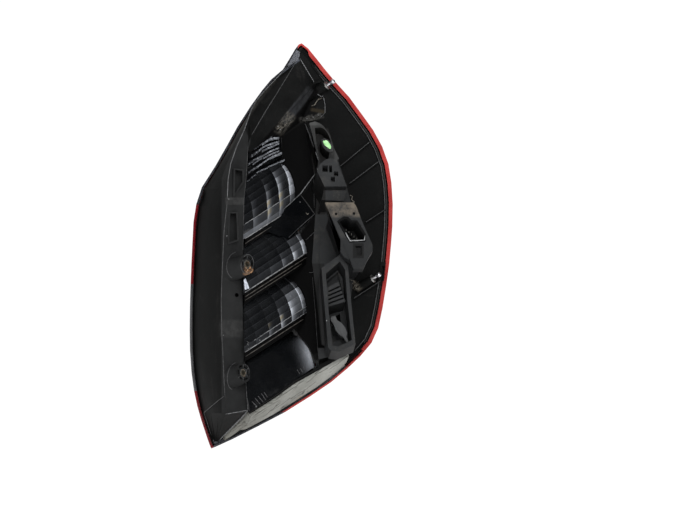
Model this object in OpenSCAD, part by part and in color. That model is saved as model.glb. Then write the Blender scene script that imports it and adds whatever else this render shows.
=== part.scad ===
// Rear lamp cluster for the left corner of a hatchback, seen from the side that fits against the body.
// X runs to the right and Z up as seen from behind, +Y runs from the body towards the lens.
// The origin is the centre of the upper screw boss, on its mouth.

/* [Overall] */
// Millimetres for one step of the design grid, which sets the height and width of the lamp
grid = 1.04; // [1.02:0.01:1.06]
// Thickness of the moulded walls
wall = 2.4; // [2:0.1:3]
// Thickness of the lens
lens_t = 2.4; // [2:0.1:2.8]
// Greatest height of the lens above the joint
lens_depth = 48; // [42:1:56]

/* [Housing] */
// Height of the stiffening ribs above the rear panel
rib_h = 5; // [3:0.5:7]
// Thickness of the stiffening ribs
rib_t = 1.8; // [1.4:0.1:2.2]

/* [Fixings] */
// Outer radius of the screw bosses at the mouth
boss_r = 10.2; // [9.8:0.1:10.6]
// Clear radius inside the screw inserts
insert_r = 3; // [2.5:0.1:3.3]
// Outer radius of the screw inserts
insert_ro = 4.6; // [4.4:0.1:4.8]
// Radius of the ball on the locating studs
ball_r = 2.6; // [2.3:0.1:2.8]
// Radius of the locating studs' shank
shank_r = 1.5; // [1.3:0.1:1.8]

/* [Bulbs and carrier] */
// Radius of the bulb glasses
glass_r = 10; // [8:0.5:11]
// Radius of the bulb caps
cap_r = 7.5; // [7:0.1:8]
// Depth of the connector socket
plug_deep = 18; // [14:1:20]

/* [Hidden] */
$fn = 40;
black = [0.07, 0.07, 0.075];
// Depths: front of the rear panel, its far face, the joint with the lens
p1 = 78;
p2 = p1 + wall;
joint = 84;
// Directions: bosses, studs, and the axis of the reflector bowls with the line across it, on the grid
bdir = [0.698, -0.669, 0.254];
sdir = [0.80, -0.34, 0.50];
A = [-0.839, 0.545];
W = [0.545, 0.839];
focus4 = 79;
bowl_turn = 147;
V1 = [287.8, 169.6, 88];
V2 = [300.4, 234.9, 88];
V3 = [299.5, 288.5, 88];
V4 = [307.5, 345.5, 92];

function sum(v) = v*[for (i = v) 1];
function rev(P) = [for (i = [len(P) - 1:-1:0]) P[i]];
function lerp(a, b, t) = a + (b - a)*t;
// Point t of the way along a chain of points
function at(P, t) = let(s = t*(len(P) - 1), i = min(floor(s), len(P) - 2)) lerp(P[i], P[i + 1], s - i);
// Grid step [u, v, depth] to millimetres
function q(p) = [(p[0] - 247.5)*grid, p[2], (264 - p[1])*grid];
function q2(p) = [(p[0] - 247.5)*grid, (264 - p[1])*grid];
function Q(P) = [for (p = P) q(p)];
function area2(P) = sum([for (i = [0:len(P) - 1]) cross([P[i][0], P[i][1]], [P[(i + 1)%len(P)][0], P[(i + 1)%len(P)][1]])]);
function cw(P) = area2(P) > 0 ? P : rev(P);
function vol(V, F) = sum([for (f = F) V[f[0]]*cross(V[f[1]], V[f[2]])]);
function bp(V, v, h) = [V[0], V[1]] + A*(v*v + h*h)/focus4 + W*v;

// A closed solid between two grids of points
module skin(P, R) {
  n = len(P); c = len(P[0]); N = n*c;
  V = [for (r = P) for (p = r) p, for (r = R) for (p = r) p];
  F = [for (i = [0:n - 2]) for (j = [0:c - 2]) let(a = i*c + j, b = a + 1, d = a + c, e = d + 1)
      each [[a, b, e], [a, e, d], [N + a, N + e, N + b], [N + a, N + d, N + e]],
    for (j = [0:c - 2]) each [[j, N + j, N + j + 1], [j, N + j + 1, j + 1]],
    for (j = [0:c - 2]) let(k = (n - 1)*c + j) each [[k, N + k + 1, N + k], [k, k + 1, N + k + 1]],
    for (i = [0:n - 2]) let(k = i*c) each [[k, N + k + c, N + k], [k, k + c, N + k + c]],
    for (i = [0:n - 2]) let(k = i*c + c - 1) each [[k, N + k, N + k + c], [k, N + k + c, k + c]]];
  polyhedron(V, vol(V, F) > 0 ? [for (f = F) rev(f)] : F, convexity = 8);
}
// The same from grid steps, thickened by a fixed vector in millimetres
module shell(P, off) { skin([for (r = P) Q(r)], [for (r = P) [for (p = r) q(p) + off]]); }
// A flat outline on the grid, from depth a to depth b
module ext(P, a, b) { translate([0, b, 0]) rotate([90, 0, 0]) linear_extrude(b - a) polygon([for (p = P) q2(p)]); }
// The same, drawn at depth a and leaning down and left towards depth b as the carrier's towers do
module prism(P0, a, b) {
  P = cw(P0); n = len(P); t = b - a;
  V = [for (p = P) q([p[0], p[1], a]), for (p = P) q([p[0] - 0.13*t, p[1] + 0.46*t, b])];
  polyhedron(V, [[for (i = [0:n - 1]) i], [for (i = [n - 1:-1:0]) n + i],
    for (i = [0:n - 1]) [(i + 1)%n, i, n + i, n + (i + 1)%n]], convexity = 6);
}
// A straight bar w steps wide between two grid points
function bar(a, b, w) = let(t = (b - a)/norm(b - a), s = [-t[1], t[0]]*w/2) [a + s, b + s, b - s, a - s];
module aim(p, d) { translate(q(p)) rotate([0, acos(d[2]/norm(d)), atan2(d[1], d[0])]) children(); }
module bowl(V) { translate(q([V[0], V[1], V[2]])) rotate([0, bowl_turn, 0]) scale(grid) children(); }
module tube(ro, ri, h) { difference() { cylinder(r = ro, h = h); translate([0, 0, -1]) cylinder(r = ri, h = h + 2); } }

// Left and right ends of the joint outline, from the top tip to the bottom tip
LR = [[298.7, 44.4, 301.6, 43.2], [295.2, 49, 308.2, 48.4], [289.6, 58.5, 316.4, 58.5], [282.8, 69.4, 325.5, 70], [271.2, 79.3, 335.5, 82], [262, 90.3, 349.2, 97],
  [250.8, 105.8, 362.8, 115.5], [237.2, 127, 373.2, 130], [228.1, 143.5, 382.2, 146.5], [215.7, 165.3, 388.5, 164], [201.7, 187.3, 391.5, 183],
  [196.2, 204, 392.8, 204], [193.4, 222, 392.4, 226], [192.4, 242, 391.3, 242], [191.4, 262, 389.3, 264], [190.5, 285, 386.2, 286],
  [189.8, 308, 382.6, 308], [189.6, 330, 378.3, 328], [189.9, 350, 371.5, 343], [191.4, 372, 360.6, 356], [193.8, 390, 347.6, 368.3],
  [197.2, 406, 331, 382.3], [201.2, 420, 309.6, 396.8], [204.8, 431, 285, 412.2], [207.8, 440, 257, 426.8], [210.2, 446.4, 232, 439.4], [211.2, 448.6, 215.5, 446.9]];
OUT = concat([for (p = LR) [p[2], p[3]]], rev([for (p = LR) [p[0], p[1]]]));
module outline(d) { offset(delta = -d) polygon([for (p = OUT) q2(p)]); }
module ring(d1, d2, a, b) { translate([0, b, 0]) rotate([90, 0, 0]) linear_extrude(b - a) difference() { outline(d1); outline(d2); } }
module right_side() { ext([[302, 30], [430, 30], [430, 345], [362, 350], [350, 340], [318, 88]], 60, 120); }

// Edge of the reflector as seen from behind, right side then left side
RIGHT = [[281, 138], [281, 150], for (v = [-9:4.5:27]) bp(V1, v, 0) , [301.5, 196], [314, 214], [301, 231], for (v = [0:6:18]) bp(V2, v, 0), [299, 263],
  for (v = [-20:6:22]) bp(V3, v, 0), [304, 318], [293.5, 329.5], for (v = [-14:6:16]) bp(V4, v, 0), [318, 361]];
LEFT = [[248.5, 409], [247.5, 396], [246.5, 382], [245.3, 360], [244, 330], [243, 301], [243, 272], [243.5, 250], [243.7, 230], [244.5, 199], [246.5, 179], [247.5, 164], [249, 151]];
FOAM_TOP = [[318, 367], [294.5, 380], [274, 395], [250, 411.5]];
REFL = concat(RIGHT, FOAM_TOP, LEFT, [[262, 147]]);
module refl(d) { offset(delta = d*grid) polygon([for (p = REFL) q2(p)]); }

// Left wall and flange: [v, left end, ridge, ridge depth, flange edge]
WALL = [[68, 284.8, 287.6, 81, 288.7], [79.5, 272.8, 275.2, 75, 276.4], [91, 262.2, 264.4, 65, 265.7], [101, 254.7, 256, 51, 257.2], [110, 248.5, 251.4, 42, 252.4], [120, 242.1, 248, 35, 249.6], [130, 235.9, 244.5, 28, 248.6], [146.5, 226.8, 237, 19, 248.3], [164, 216.8, 231, 12, 247.2],
  [179, 207.5, 228.5, 8, 246.2], [189, 201.4, 228, 6, 245.4], [199, 199.3, 227.5, 5, 244.2], [207, 195.9, 227, 5, 244], [230, 193.2, 224.5, 5, 243.4], [250, 192.2, 223.5, 5, 243.2],
  [272, 191.3, 222.5, 5, 242.7], [301, 190.2, 221.5, 5, 242.7], [330, 189.8, 222, 5, 243.7], [360, 190.7, 223.5, 5, 245], [382, 192.9, 224.5, 5, 246.2], [397, 195.5, 225.3, 5, 247.2], [413, 199.4, 226, 6.5, 248.2]];
function wall_row(r) = let(w = r[2] - r[1] - 2.9, x = r[1] + 2.9, d = joint + 1.2 - r[3])
  [for (k = [[0, 1], [0.13, 0.8], [0.36, 0.5], [0.68, 0.2], [0.9, 0.05], [1, 0]]) [x + w*k[0], r[0], r[3] + d*k[1]], [r[4], r[0] + (r[0] > 405 ? -3 : 0), r[3] + 0.6*(r[4] - r[2])]];
WALL_END = [for (k = [0:6]) lerp([213, 444.8, joint + 1.2], [218, 441.8, joint + 1.2], k/6)];
TOP = [[[288.2, 68.5, 83.8], [297, 60.5, 77.5], [308, 70.5, 76.5], [314.5, 82, 77]], [[275.7, 80, 77.2], [287, 77, 66], [298, 83, 66], [308, 91, 69]],
  [[265.1, 91.5, 67.2], [276, 95, 54], [288, 96, 55], [300, 99.5, 61]], [[256.4, 101.5, 53.2], [266, 111, 42], [277, 111.5, 44], [288, 112.5, 51]],
  [[251.3, 112, 43.2], [259, 123, 33], [265, 126, 36], [272, 130, 43]], [[248.5, 122, 36.2], [252, 135, 28], [254.5, 141, 31], [257.5, 147, 37]], [[246.8, 134, 31.2], [247.4, 146, 28.2], [247.8, 150, 28.2], [250, 152, 31]]];
VALLEY = [[[311.5, 83.5, 71.5], [317, 84.8, 76], [321.5, 84, 79.1]], [[298.8, 97.8, 63.5], [304, 101.5, 72], [309, 106, 79.1]], [[286.6, 110.8, 53.8], [293, 116, 66], [303, 121, 79.1]],
  [[271, 128.4, 46], [278, 133, 57], [283, 136.4, 79.1]], [[256.6, 145.6, 39.8], [259.5, 146.6, 46], [262, 146.4, 52]]];
BASE = [[[219.5, 438.5, 79], [217.8, 442.2, 85.2]], [[233, 423.5, 50], [226, 439, 85.2]], [[247.4, 407, 23], [236, 434.2, 85.2]], [[250.5, 411.4, 15], [243, 430.8, 85.2]], [[262, 404, 19.5], [254, 425.4, 85.2]], [[275, 395.6, 28], [272, 416, 85.2]], [[295, 380.9, 46], [293, 403.6, 85.2]],
  [[318, 368.4, 66], [315, 389, 85.2]], [[338, 357.6, 74], [333, 374.5, 85.2]], [[359, 346.5, 79.5], [351, 357.5, 85.2]]];
BS = [0, 0.07, 0.3, 0.54, 0.77, 1];
BN = 18;
function base_at(i, s) = q(lerp(at([for (r = BASE) r[0]], i/BN), at([for (r = BASE) r[1]], i/BN), s));
function base_row(i) = [for (s = BS) base_at(i, s)];
base_out = [0.42, -0.3, -0.86];

function moved(P, o) = [for (p = P) q(p) + o];
INW = [[2.8, 0.9], [2.8, 1], [2.8, 1.2], [2.6, 1.5], [2.2, 2], [1.6, 2.6], [0, 3]];
INN = [[1.5, 0.9], [1.5, 1], [1.4, 1.2], [1.2, 1.2], [0.9, 1.2], [0.6, 1.2], [0, 1.1]];
function inner(P, k) = let(I = P[6][0] - P[5][0] < 3 ? INN : INW) [for (i = [0:6]) q(P[i]) + [I[i][0]*k[0], I[i][1], k[1]]];
module wall_shell() {
  difference() {
    skin([for (r = WALL) Q(wall_row(r)), Q(WALL_END)], [for (i = [0:len(WALL) - 1]) inner(wall_row(WALL[i]), i < 6 ? [1, -0.8] : i < len(WALL) - 1 ? [1, 0] : [0.8, 1.2]), moved(WALL_END, [1.2, 0.2, 2.8])]);
    flange_cut();
  }
}
module panel() {
  translate([0, p2, 0]) rotate([90, 0, 0]) linear_extrude(wall) difference() {
    outline(7.6);
    refl(0.9);
    polygon([for (p = [[150, 480], [150, 150], [249, 100], [290, 55], [312, 86], [299, 102], [262, 147], [250, 155], [246, 250], [250, 409], [252, 410.8], [274, 395.5], [294.5, 380.5], [318, 367.3], [336, 357], [359, 345], [372, 360], [260, 470]]) q2(p)]);
  }
}
// Pockets in the flange, mouth then casing
POCKETS = [[[[235.5, 170], [242.6, 171], [242.6, 182], [235, 194]], [[233.8, 168.4], [244.3, 169.6], [244.3, 182.6], [233.4, 197.5]]],
  [[[230.5, 213.5], [236.5, 213.5], [237.5, 239.5], [229.5, 242.5]], [[228.9, 212], [238.1, 212], [239.2, 240.8], [227.8, 244.6]]]];
module flange_cut() { ext(concat(rev([for (p = LEFT) p - [0.2, 0]]), [[300, 151], [300, 409]]), 8, 100); }
module boss(p, r0, h) { difference() { aim(p, -bdir) cylinder(r1 = boss_r, r2 = r0, h = h); flange_cut(); } }
module boss_cut(p, h, deep) {
  aim(p, -bdir) {
    translate([0, 0, -1]) cylinder(r = insert_ro + 0.05, h = deep + 1);
    difference() {
      translate([0, 0, -1]) tube(boss_r - 1.9, insert_ro + 1.3, 4);
      for (a = [0:60:300]) rotate([0, 0, a + 12]) translate([0, -0.7, -2]) cube([boss_r, 1.4, 8]);
    }
  }
}
module post(p, len) { aim(p, -sdir) cylinder(r1 = 4, r2 = 5.2, h = len); }

housing();
module housing() color(black) difference() {
  union() {
    ring(3.3, 9.6, joint, joint + 2.6);
    intersection() { ring(7, 8.7, 75.5, joint + 1); right_side(); }
    panel();
    wall_shell();
    shell(TOP, [0.4, wall, -1]);
    shell(VALLEY, [-1.4, 1.2, 1.2]);
    skin([for (i = [0:BN]) base_row(i)], [for (i = [0:BN]) [for (p = base_row(i)) p + [-0.6, 0.9, wall]]]);
    for (b = [[[340.5, 166], [369.5, 142]], [[349.5, 183.4], [378.5, 161.5]], [[366, 222], [385, 209.5]], [[354, 298.2], [380.5, 281]]]) ext(bar(b[0], b[1], rib_t/grid), p1 - rib_h, p1 + 1);
    ext(bar([312, 84], [321, 81], 2), p1 - 4, p1 + 1);
    for (p = POCKETS) ext(p[1], 6.5, 19);
    boss([247.5, 264, 0], 13, 27);
    boss([243.5, 372.5, 2.2], 12.4, 19.5);
    post([326.3, 85.8, 70], 24);
    post([372.3, 278.8, 71], 20);
    ext([[302, 121], [308, 114.5], [315, 104], [323, 99], [324.5, 112.5], [318.5, 121]], p1 - 3.5, p1 + 1);
    ext([[381, 262], [386, 262], [384, 281], [379, 281]], p1 - 5, p1 + 1);
  }
  boss_cut([247.5, 264, 0], 27, 18);
  boss_cut([243.5, 372.5, 2.2], 19.5, 13);
  aim([326.3, 85.8, 70], -sdir) translate([0, 0, -1]) cylinder(r = shank_r + 0.05, h = 13);
  aim([372.3, 278.8, 71], -sdir) translate([0, 0, -1]) cylinder(r = shank_r + 0.05, h = 13);
  for (p = POCKETS) ext(p[0], -5, 17);
  translate(q([237, 295, -5])) rotate([-90, 0, 0]) cylinder(r = 2, h = 40);
  ext([[382, 266], [384.6, 266], [383.5, 277], [381, 277]], p1 - 6, p1 - 1);
  ext(CBODY_CUT, 60, 100);
  ext([[318.1, 367.2], [294.6, 380.25], [274.1, 395.25], [248.5, 412.7], [248.4, 400], [274, 384], [294, 370], [312, 362]], 6, 82.9);
}

FLUTES = [[[249.5, 152.5, 35], [262, 147.5, 46], [272, 143, 56], [282, 138, 81]], [[249, 157.5, 32], [262, 150.5, 44], [272, 146, 54], [282, 141.5, 80]], [[248, 161, 33.5], [264, 154, 47], [273, 149.5, 58], [282, 144.5, 81]],
  [[247, 165, 31], [265, 157, 45], [273, 153, 56], [282, 148.5, 80]], [[247, 169, 33], [266, 160, 49], [274, 156, 60], [282, 151, 81]], [[246, 173, 30], [268, 163, 47], [275, 159, 59], [283, 153.5, 80]],
  [[245, 178, 32], [263, 168, 48], [273, 163, 62], [285, 157.5, 82]], [[243, 187, 28], [258, 175, 43], [271, 169, 58], [288, 163, 82]]];
module flutes() { shell(FLUTES, [-2.2, 1.6, -0.6]); }
module bowl_skin(v0, v1, n) {
  hs = [4, 12, 22, 33, 45.8, 57, 67.5, 78];
  P = [for (i = [0:n]) let(v = lerp(v0, v1, i/n)) [for (h = hs) [(v*v + h*h)/focus4, -h, v]]];
  skin(P, [for (r = P) [for (p = r) p + [2.6, 1.6, 0]]]);
}
// Partition across the bowls, t thick
module web(v, t) {
  translate([0, 0, v - t/2]) linear_extrude(t) polygon([for (h = [5, 12, 22, 33, 45.8, 57, 67.5, 78]) [(v*v + h*h)/focus4 - 0.6, -h], [80, -60], [74, -46], [50, -12], [12, -5]]);
}
reflector();
module reflector() color([0.03, 0.03, 0.035]) {
  intersection() {
    union() {
      bowl(V1) bowl_skin(-13, 34, 6);
      bowl(V2) bowl_skin(-26.5, 18.5, 6);
      bowl(V3) bowl_skin(-24, 23.5, 6);
      bowl(V4) bowl_skin(-20, 30, 8);
      bowl(V2) { web(-26, 2.4); web(18, 2.2); }
      bowl(V3) { web(-23.4, 2); web(23, 2.4); }
      bowl(V4) web(-19.4, 2);
      flutes();
      shell([[[300.5, 194, 72], [315, 214, 79.5]], [[280, 211, 50], [301, 226, 62]], [[257, 228.5, 27], [288.5, 238, 50]]], [0.5, 2.2, -1]);
    }
    translate([0, 82.8, 0]) rotate([90, 0, 0]) linear_extrude(82.8) refl(0);
  }
  translate([0, 83.4, 0]) rotate([90, 0, 0]) linear_extrude(83.4 - p2 - 0.15) difference() { refl(4); refl(-2.2); }
}

// Lens: a domed shell on the joint outline with a short skirt
COLS = [0, 0.02, 0.06, 0.12, 0.2, 0.32, 0.46, 0.62, 0.78, 0.9, 0.97, 1];
function rise(t) = pow(sin(180*pow(t, 0.62)), 0.7);
function crown(k) = 0.24 + 0.76*pow(sin(180*min(1, max(0, 0.02 + 0.96*k))), 0.55);
function lens_grid(d) = [for (i = [0:len(LR) - 1]) let(e = i == 0 ? [0, 0.4] : i == len(LR) - 1 ? [0.1, -0.35] : [0, 0], L = [LR[i][0], LR[i][1]], R = [LR[i][2], LR[i][3]], x = min(d/grid, norm(R - L)*0.4)*(R - L)/norm(R - L))
  [for (t = COLS) let(p = lerp(L + x, R - x, t) + e*d) q([p[0], p[1], joint + 2.4 + (lens_depth*crown(i/(len(LR) - 1)) - d)*rise(t)*(i == 0 || i == len(LR) - 1 ? 0 : 1)])]];
module lens() {
  skin(lens_grid(0.4), lens_grid(0.4 + lens_t));
  ring(0, 1.9, 79.5, joint + 2.6);
  intersection() { ring(1, 4, 79.5, joint - 1); right_side(); }
}
WINDOW = [[180, 284], [292, 284], [300, 292], [300, 383], [292, 391], [180, 391]];
lens_red();
module lens_red() color([0.6, 0.02, 0.03]) difference() { lens(); ext(WINDOW, 60, 160); }
lens_clear();
module lens_clear() color([0.8, 0.8, 0.82]) intersection() { lens(); ext(WINDOW, 61, 159); }
lens_seal();
module lens_seal() color([0.05, 0.05, 0.05]) intersection() { ring(4.5, 6.8, joint - 1.4, joint); ext([[304, 30], [430, 30], [430, 335], [366, 345], [352, 330], [320, 84]], 60, 120); }

// Bulb carrier
CBASE = [[321, 166], [316, 132], [328, 128], [338, 160], [346.5, 186], [353, 210], [362, 222], [367, 246], [362, 262], [354, 276], [350.5, 300], [352, 338], [345, 346], [328, 351], [321, 344], [317, 300], [312, 262], [316, 205]];
CBODY = [[324.8, 172.3], [334, 168.5], [341.6, 190], [348.6, 215], [349.6, 250], [345.6, 300], [345.6, 338], [329.8, 343], [323.6, 300], [319.6, 262], [320.6, 205]];
CBODY_IN = [[327.5, 176], [332.5, 173.5], [338.9, 191], [345.8, 216], [346.8, 250], [342.8, 300], [342.8, 335.5], [332.2, 340], [326.4, 300], [322.4, 262], [323.4, 206]];
CBODY_CUT = [[323.4, 170.3], [334.8, 166.3], [343, 189.6], [350, 214.8], [351, 250], [347, 300], [347, 339.4], [328.8, 344.8], [322.2, 300], [318.2, 262], [319.2, 205]];
PLATE = [[325, 202.5], [353.5, 202.5], [356, 206], [364, 226], [372.5, 245], [372.5, 251], [367.5, 259], [363, 269], [353.5, 269], [350, 260], [344, 257], [340.5, 252], [340.5, 240], [330, 217.5]];
SOCKET = [[337.5, 220.5], [343.5, 216.3], [348, 216.6], [351.5, 220.3], [357.3, 220.3], [366, 234.2], [365.6, 241], [349.8, 241.6], [345, 234]];
SOCKET_IN = [[339.6, 221.6], [344.1, 218.3], [347.2, 218.5], [350.6, 222.1], [356.2, 222.1], [364, 234.7], [363.8, 239.2], [350.8, 239.8], [346.6, 233]];
bulb_carrier();
module bulb_carrier() color([0.1, 0.1, 0.105]) difference() {
  union() {
    difference() { ext(CBASE, 74, 76.6); ext(CBODY_IN, 70, 80); ext([[331, 318], [340, 314], [341.5, 332], [333, 337]], 55, 80); }
    difference() { ext(CBODY, 70, 100); ext(CBODY_IN, 72.4, 98); ext([[331, 318], [340, 314], [341.5, 332], [333, 337]], 55, 80); }
    for (V = [V1, V2, V3, V4]) bowl(V) translate([-26, 7.5/grid, 0]) rotate([0, 90, 0]) difference() { cylinder(r = 9.4, h = 22); translate([0, 0, 10]) cylinder(r = cap_r/grid + 0.1, h = 13); }
    ext(bar([306, 157], [332, 178], 13), 88, 99);
    // Arch and its bar
    difference() {
      prism([[309.5, 123], [315, 121.5], [319.5, 123.3], [323.5, 126], [329.5, 134.5], [334, 148], [339, 158.5], [334, 164], [322, 168], [317.4, 168], [318.2, 160], [313.5, 140]], 52, 75);
      prism([[316.3, 141], [314.9, 127.4], [320.6, 127], [324, 128.3], [327.3, 132], [329.6, 136.4], [331.3, 142], [331.6, 148], [329.4, 153.5], [328.8, 158], [320.8, 163.2], [319.6, 157]], 51, 66);
    }
    prism([[321.4, 139.6], [324.5, 138.2], [329, 140.5], [332.6, 146], [333, 151], [330, 152.5], [325, 149.5], [322, 145]], 50.5, 68);
    // Slot block and the step under it
    difference() {
      prism([[317, 171], [319.3, 165], [325.4, 159.8], [330.4, 158.2], [337, 160], [339.5, 168], [347, 186.5], [324.5, 186.5]], 36, 75);
      prism([[322.5, 165], [328, 165], [328, 171.5], [322.5, 171.5]], 35, 48);
      prism([[329.3, 165], [332.2, 165], [332.2, 172], [329.3, 172]], 35, 48);
      prism([[331, 176.3], [335, 176.3], [335, 181.5], [331, 181.5]], 35, 44);
      prism([[334, 171], [338.5, 171], [338.5, 175.8], [334, 175.8]], 35, 44);
    }
    prism([[324.5, 188], [347, 187.3], [343.5, 201], [321.5, 200]], 44, 75);
    // Connector tower
    prism(PLATE, 22, 28.8);
    prism([[331.5, 208.5], [352.5, 207.5], [359, 218], [367.8, 236], [368, 246], [361, 257], [350, 255], [342, 247], [342.6, 236]], 27.5, 75);
    // Lower frame
    difference() {
      union() {
        prism([[321.5, 268], [340.5, 254], [348, 266], [351, 300], [355.5, 344], [339, 351.5], [331, 350.5], [328, 347], [325, 310]], 34, 52);
        ext([[319, 276], [341, 262], [347, 274], [350, 300], [351, 337], [345, 346], [330, 350], [322, 344], [319, 300]], 50, 75);
      }
      prism([[326, 273], [340, 261], [345.2, 269], [347.5, 300], [352, 339.5], [338.5, 346], [332.6, 345], [328.8, 310]], 33, 53);
      ext([[324, 284], [338, 272], [344, 300], [347, 335], [331, 344], [326, 310]], 50, 60);
      ext([[331, 318], [340, 314], [341.5, 332], [333, 337]], 55, 80);
    }
    difference() {
      prism([[326, 288.5], [338.5, 281.5], [345.5, 301.5], [328.5, 306.5]], 40, 64);
      for (k = [0:3]) prism(bar([328.6, 291 + 4*k] , [341 + 0.9*k, 285.4 + 4*k], 1.6), 39, 46);
    }
    ext([[318, 348], [330, 348], [343, 350], [330, 356.5], [318.5, 359.5]], 67, 75);
  }
  prism(SOCKET, 20, 52);
  prism([[355.4, 244.9], [361.8, 244.9], [361.9, 254.4], [357.4, 254.4], [356.6, 247.6]], 20, 26);
  for (p = [[336, 214, 20], [354, 213.5, 20]]) translate(q(p)) rotate([-90, 0, 0]) cylinder(r = 1.4, h = 6);
}
carrier_gasket();
module carrier_gasket() color([0.04, 0.04, 0.04]) translate([0, p1, 0]) rotate([90, 0, 0]) linear_extrude(p1 - 76.6) difference() {
  offset(delta = -2) polygon([for (p = CBASE) q2(p)]);
  offset(delta = -0.2) polygon([for (p = CBODY_CUT) q2(p)]);
  offset(delta = -4.4) polygon([for (p = CBASE) q2(p)]);
}
connector_shell();
module connector_shell() color([0.16, 0.16, 0.17]) difference() {
  prism([for (p = SOCKET) lerp([352, 230], p, 0.985)], 20, 20 + plug_deep + 3);
  prism(SOCKET_IN, 19, 20 + plug_deep);
}
connector_pins();
module connector_pins() color([0.75, 0.7, 0.55]) for (k = [0:5]) let(p = lerp([347.5, 225.5], [360.5, 236.4], k/5))
  prism([for (c = [[-0.4, -0.9], [0.4, -0.9], [0.4, 0.9], [-0.4, 0.9]]) p + c + [-0.13, 0.46]*10], 30, 20 + plug_deep);
contact_strip();
module contact_strip() color([0.7, 0.6, 0.35]) ext([[329.5, 180], [333, 178], [337, 192], [343, 217], [344, 250], [340, 300], [340, 321], [336, 323], [333, 300], [329.5, 262], [329.5, 206]], 100, 100.8);
latch();
module latch() color([0.13, 0.13, 0.14]) {
  prism([[331.2, 316.5], [335.4, 315.6], [336.8, 320.6], [332.2, 321.4]], 42, 52);
  prism([[330.8, 317.5], [335.6, 316.5], [337.2, 320.2], [341.5, 322.8], [345.2, 327.4], [347.2, 333], [346.3, 336.6], [348.2, 341.2], [346.4, 342.2], [343.6, 337.2], [338.6, 333.8], [335.4, 329], [333.4, 323.4], [331.2, 320.8]], 41, 43.4);
}

foam_strip();
function foam_row(i, d) = [for (s = [i < 5 ? 0.29 : 0.1, 0.33, 0.54, i < 5 ? 0.74 : 0.77]) base_at(i, s) + base_out*d];
module foam_strip() color([0.6, 0.57, 0.5]) skin([for (i = [1:BN - 1]) foam_row(i, 0.3)], [for (i = [1:BN - 1]) foam_row(i, 3.3)]);
tip_pad();
module tip_pad() color([0.35, 0.36, 0.38]) ext([[297.9, 52.8], [299.9, 54], [296.6, 58.9], [292.3, 63.4], [291.1, 63], [294.6, 57.9]], 80.5, joint);

module stud(p) {
  aim(p, sdir) {
    translate([0, 0, -11]) cylinder(r = shank_r, h = 17.5);
    translate([0, 0, 8.4]) sphere(r = ball_r, $fn = 24);
    translate([0, 0, 5]) cylinder(r1 = 1.6, r2 = 2.2, h = 1.6);
  }
}
ball_stud_upper();
module ball_stud_upper() color([0.75, 0.75, 0.77]) stud([326.3, 85.8, 70]);
ball_stud_lower();
module ball_stud_lower() color([0.75, 0.75, 0.77]) stud([372.3, 278.8, 71]);
stud_washer_upper();
module stud_washer_upper() color([0.5, 0.5, 0.52]) aim([326.3, 85.8, 70], sdir) tube(4.4, shank_r + 0.05, 1.4);
stud_washer_lower();
module stud_washer_lower() color([0.5, 0.5, 0.52]) aim([372.3, 278.8, 71], sdir) tube(4.4, shank_r + 0.05, 1.4);

module insert(p, len) { aim(p, -bdir) translate([0, 0, 0.6]) difference() {
    union() { cylinder(r = insert_ro, h = len); translate([0, 0, -0.9]) cylinder(r = insert_ro - 0.6, h = 1); }
    translate([0, 0, -2]) cylinder(r = insert_r, h = len + 4);
  } }
screw_insert_upper();
module screw_insert_upper() color([0.72, 0.6, 0.32]) insert([247.5, 264, 0], 16);
screw_insert_lower();
module screw_insert_lower() color([0.72, 0.6, 0.32]) insert([243.5, 372.5, 2.2], 11.6);

module cap(V) { bowl(V) translate([-15.8, 7.5/grid, 0]) rotate([0, 90, 0]) { cylinder(r = cap_r/grid, h = 15); translate([0, 0, 14]) cylinder(r = (cap_r - 1)/grid, h = 3); } }
module glass(V) { bowl(V) translate([1.2, 7.5/grid, 0]) rotate([0, 90, 0]) { cylinder(r1 = cap_r*0.8/grid, r2 = glass_r*0.9/grid, h = 9); translate([0, 0, 12]) sphere(r = glass_r/grid, $fn = 24); } }
bulb_cap_1();
module bulb_cap_1() color([0.7, 0.68, 0.6]) cap(V1);
bulb_cap_2();
module bulb_cap_2() color([0.7, 0.68, 0.6]) cap(V2);
bulb_cap_3();
module bulb_cap_3() color([0.7, 0.68, 0.6]) cap(V3);
bulb_cap_4();
module bulb_cap_4() color([0.7, 0.68, 0.6]) cap(V4);
bulb_glass_1();
module bulb_glass_1() color([0.8, 0.85, 0.9]) glass(V1);
bulb_glass_2();
module bulb_glass_2() color([0.8, 0.85, 0.9]) glass(V2);
bulb_glass_3();
module bulb_glass_3() color([0.8, 0.85, 0.9]) glass(V3);
bulb_glass_4();
module bulb_glass_4() color([0.8, 0.85, 0.9]) glass(V4);
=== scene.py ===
import bpy, bmesh, math, random
from mathutils import Vector, Matrix


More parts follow.
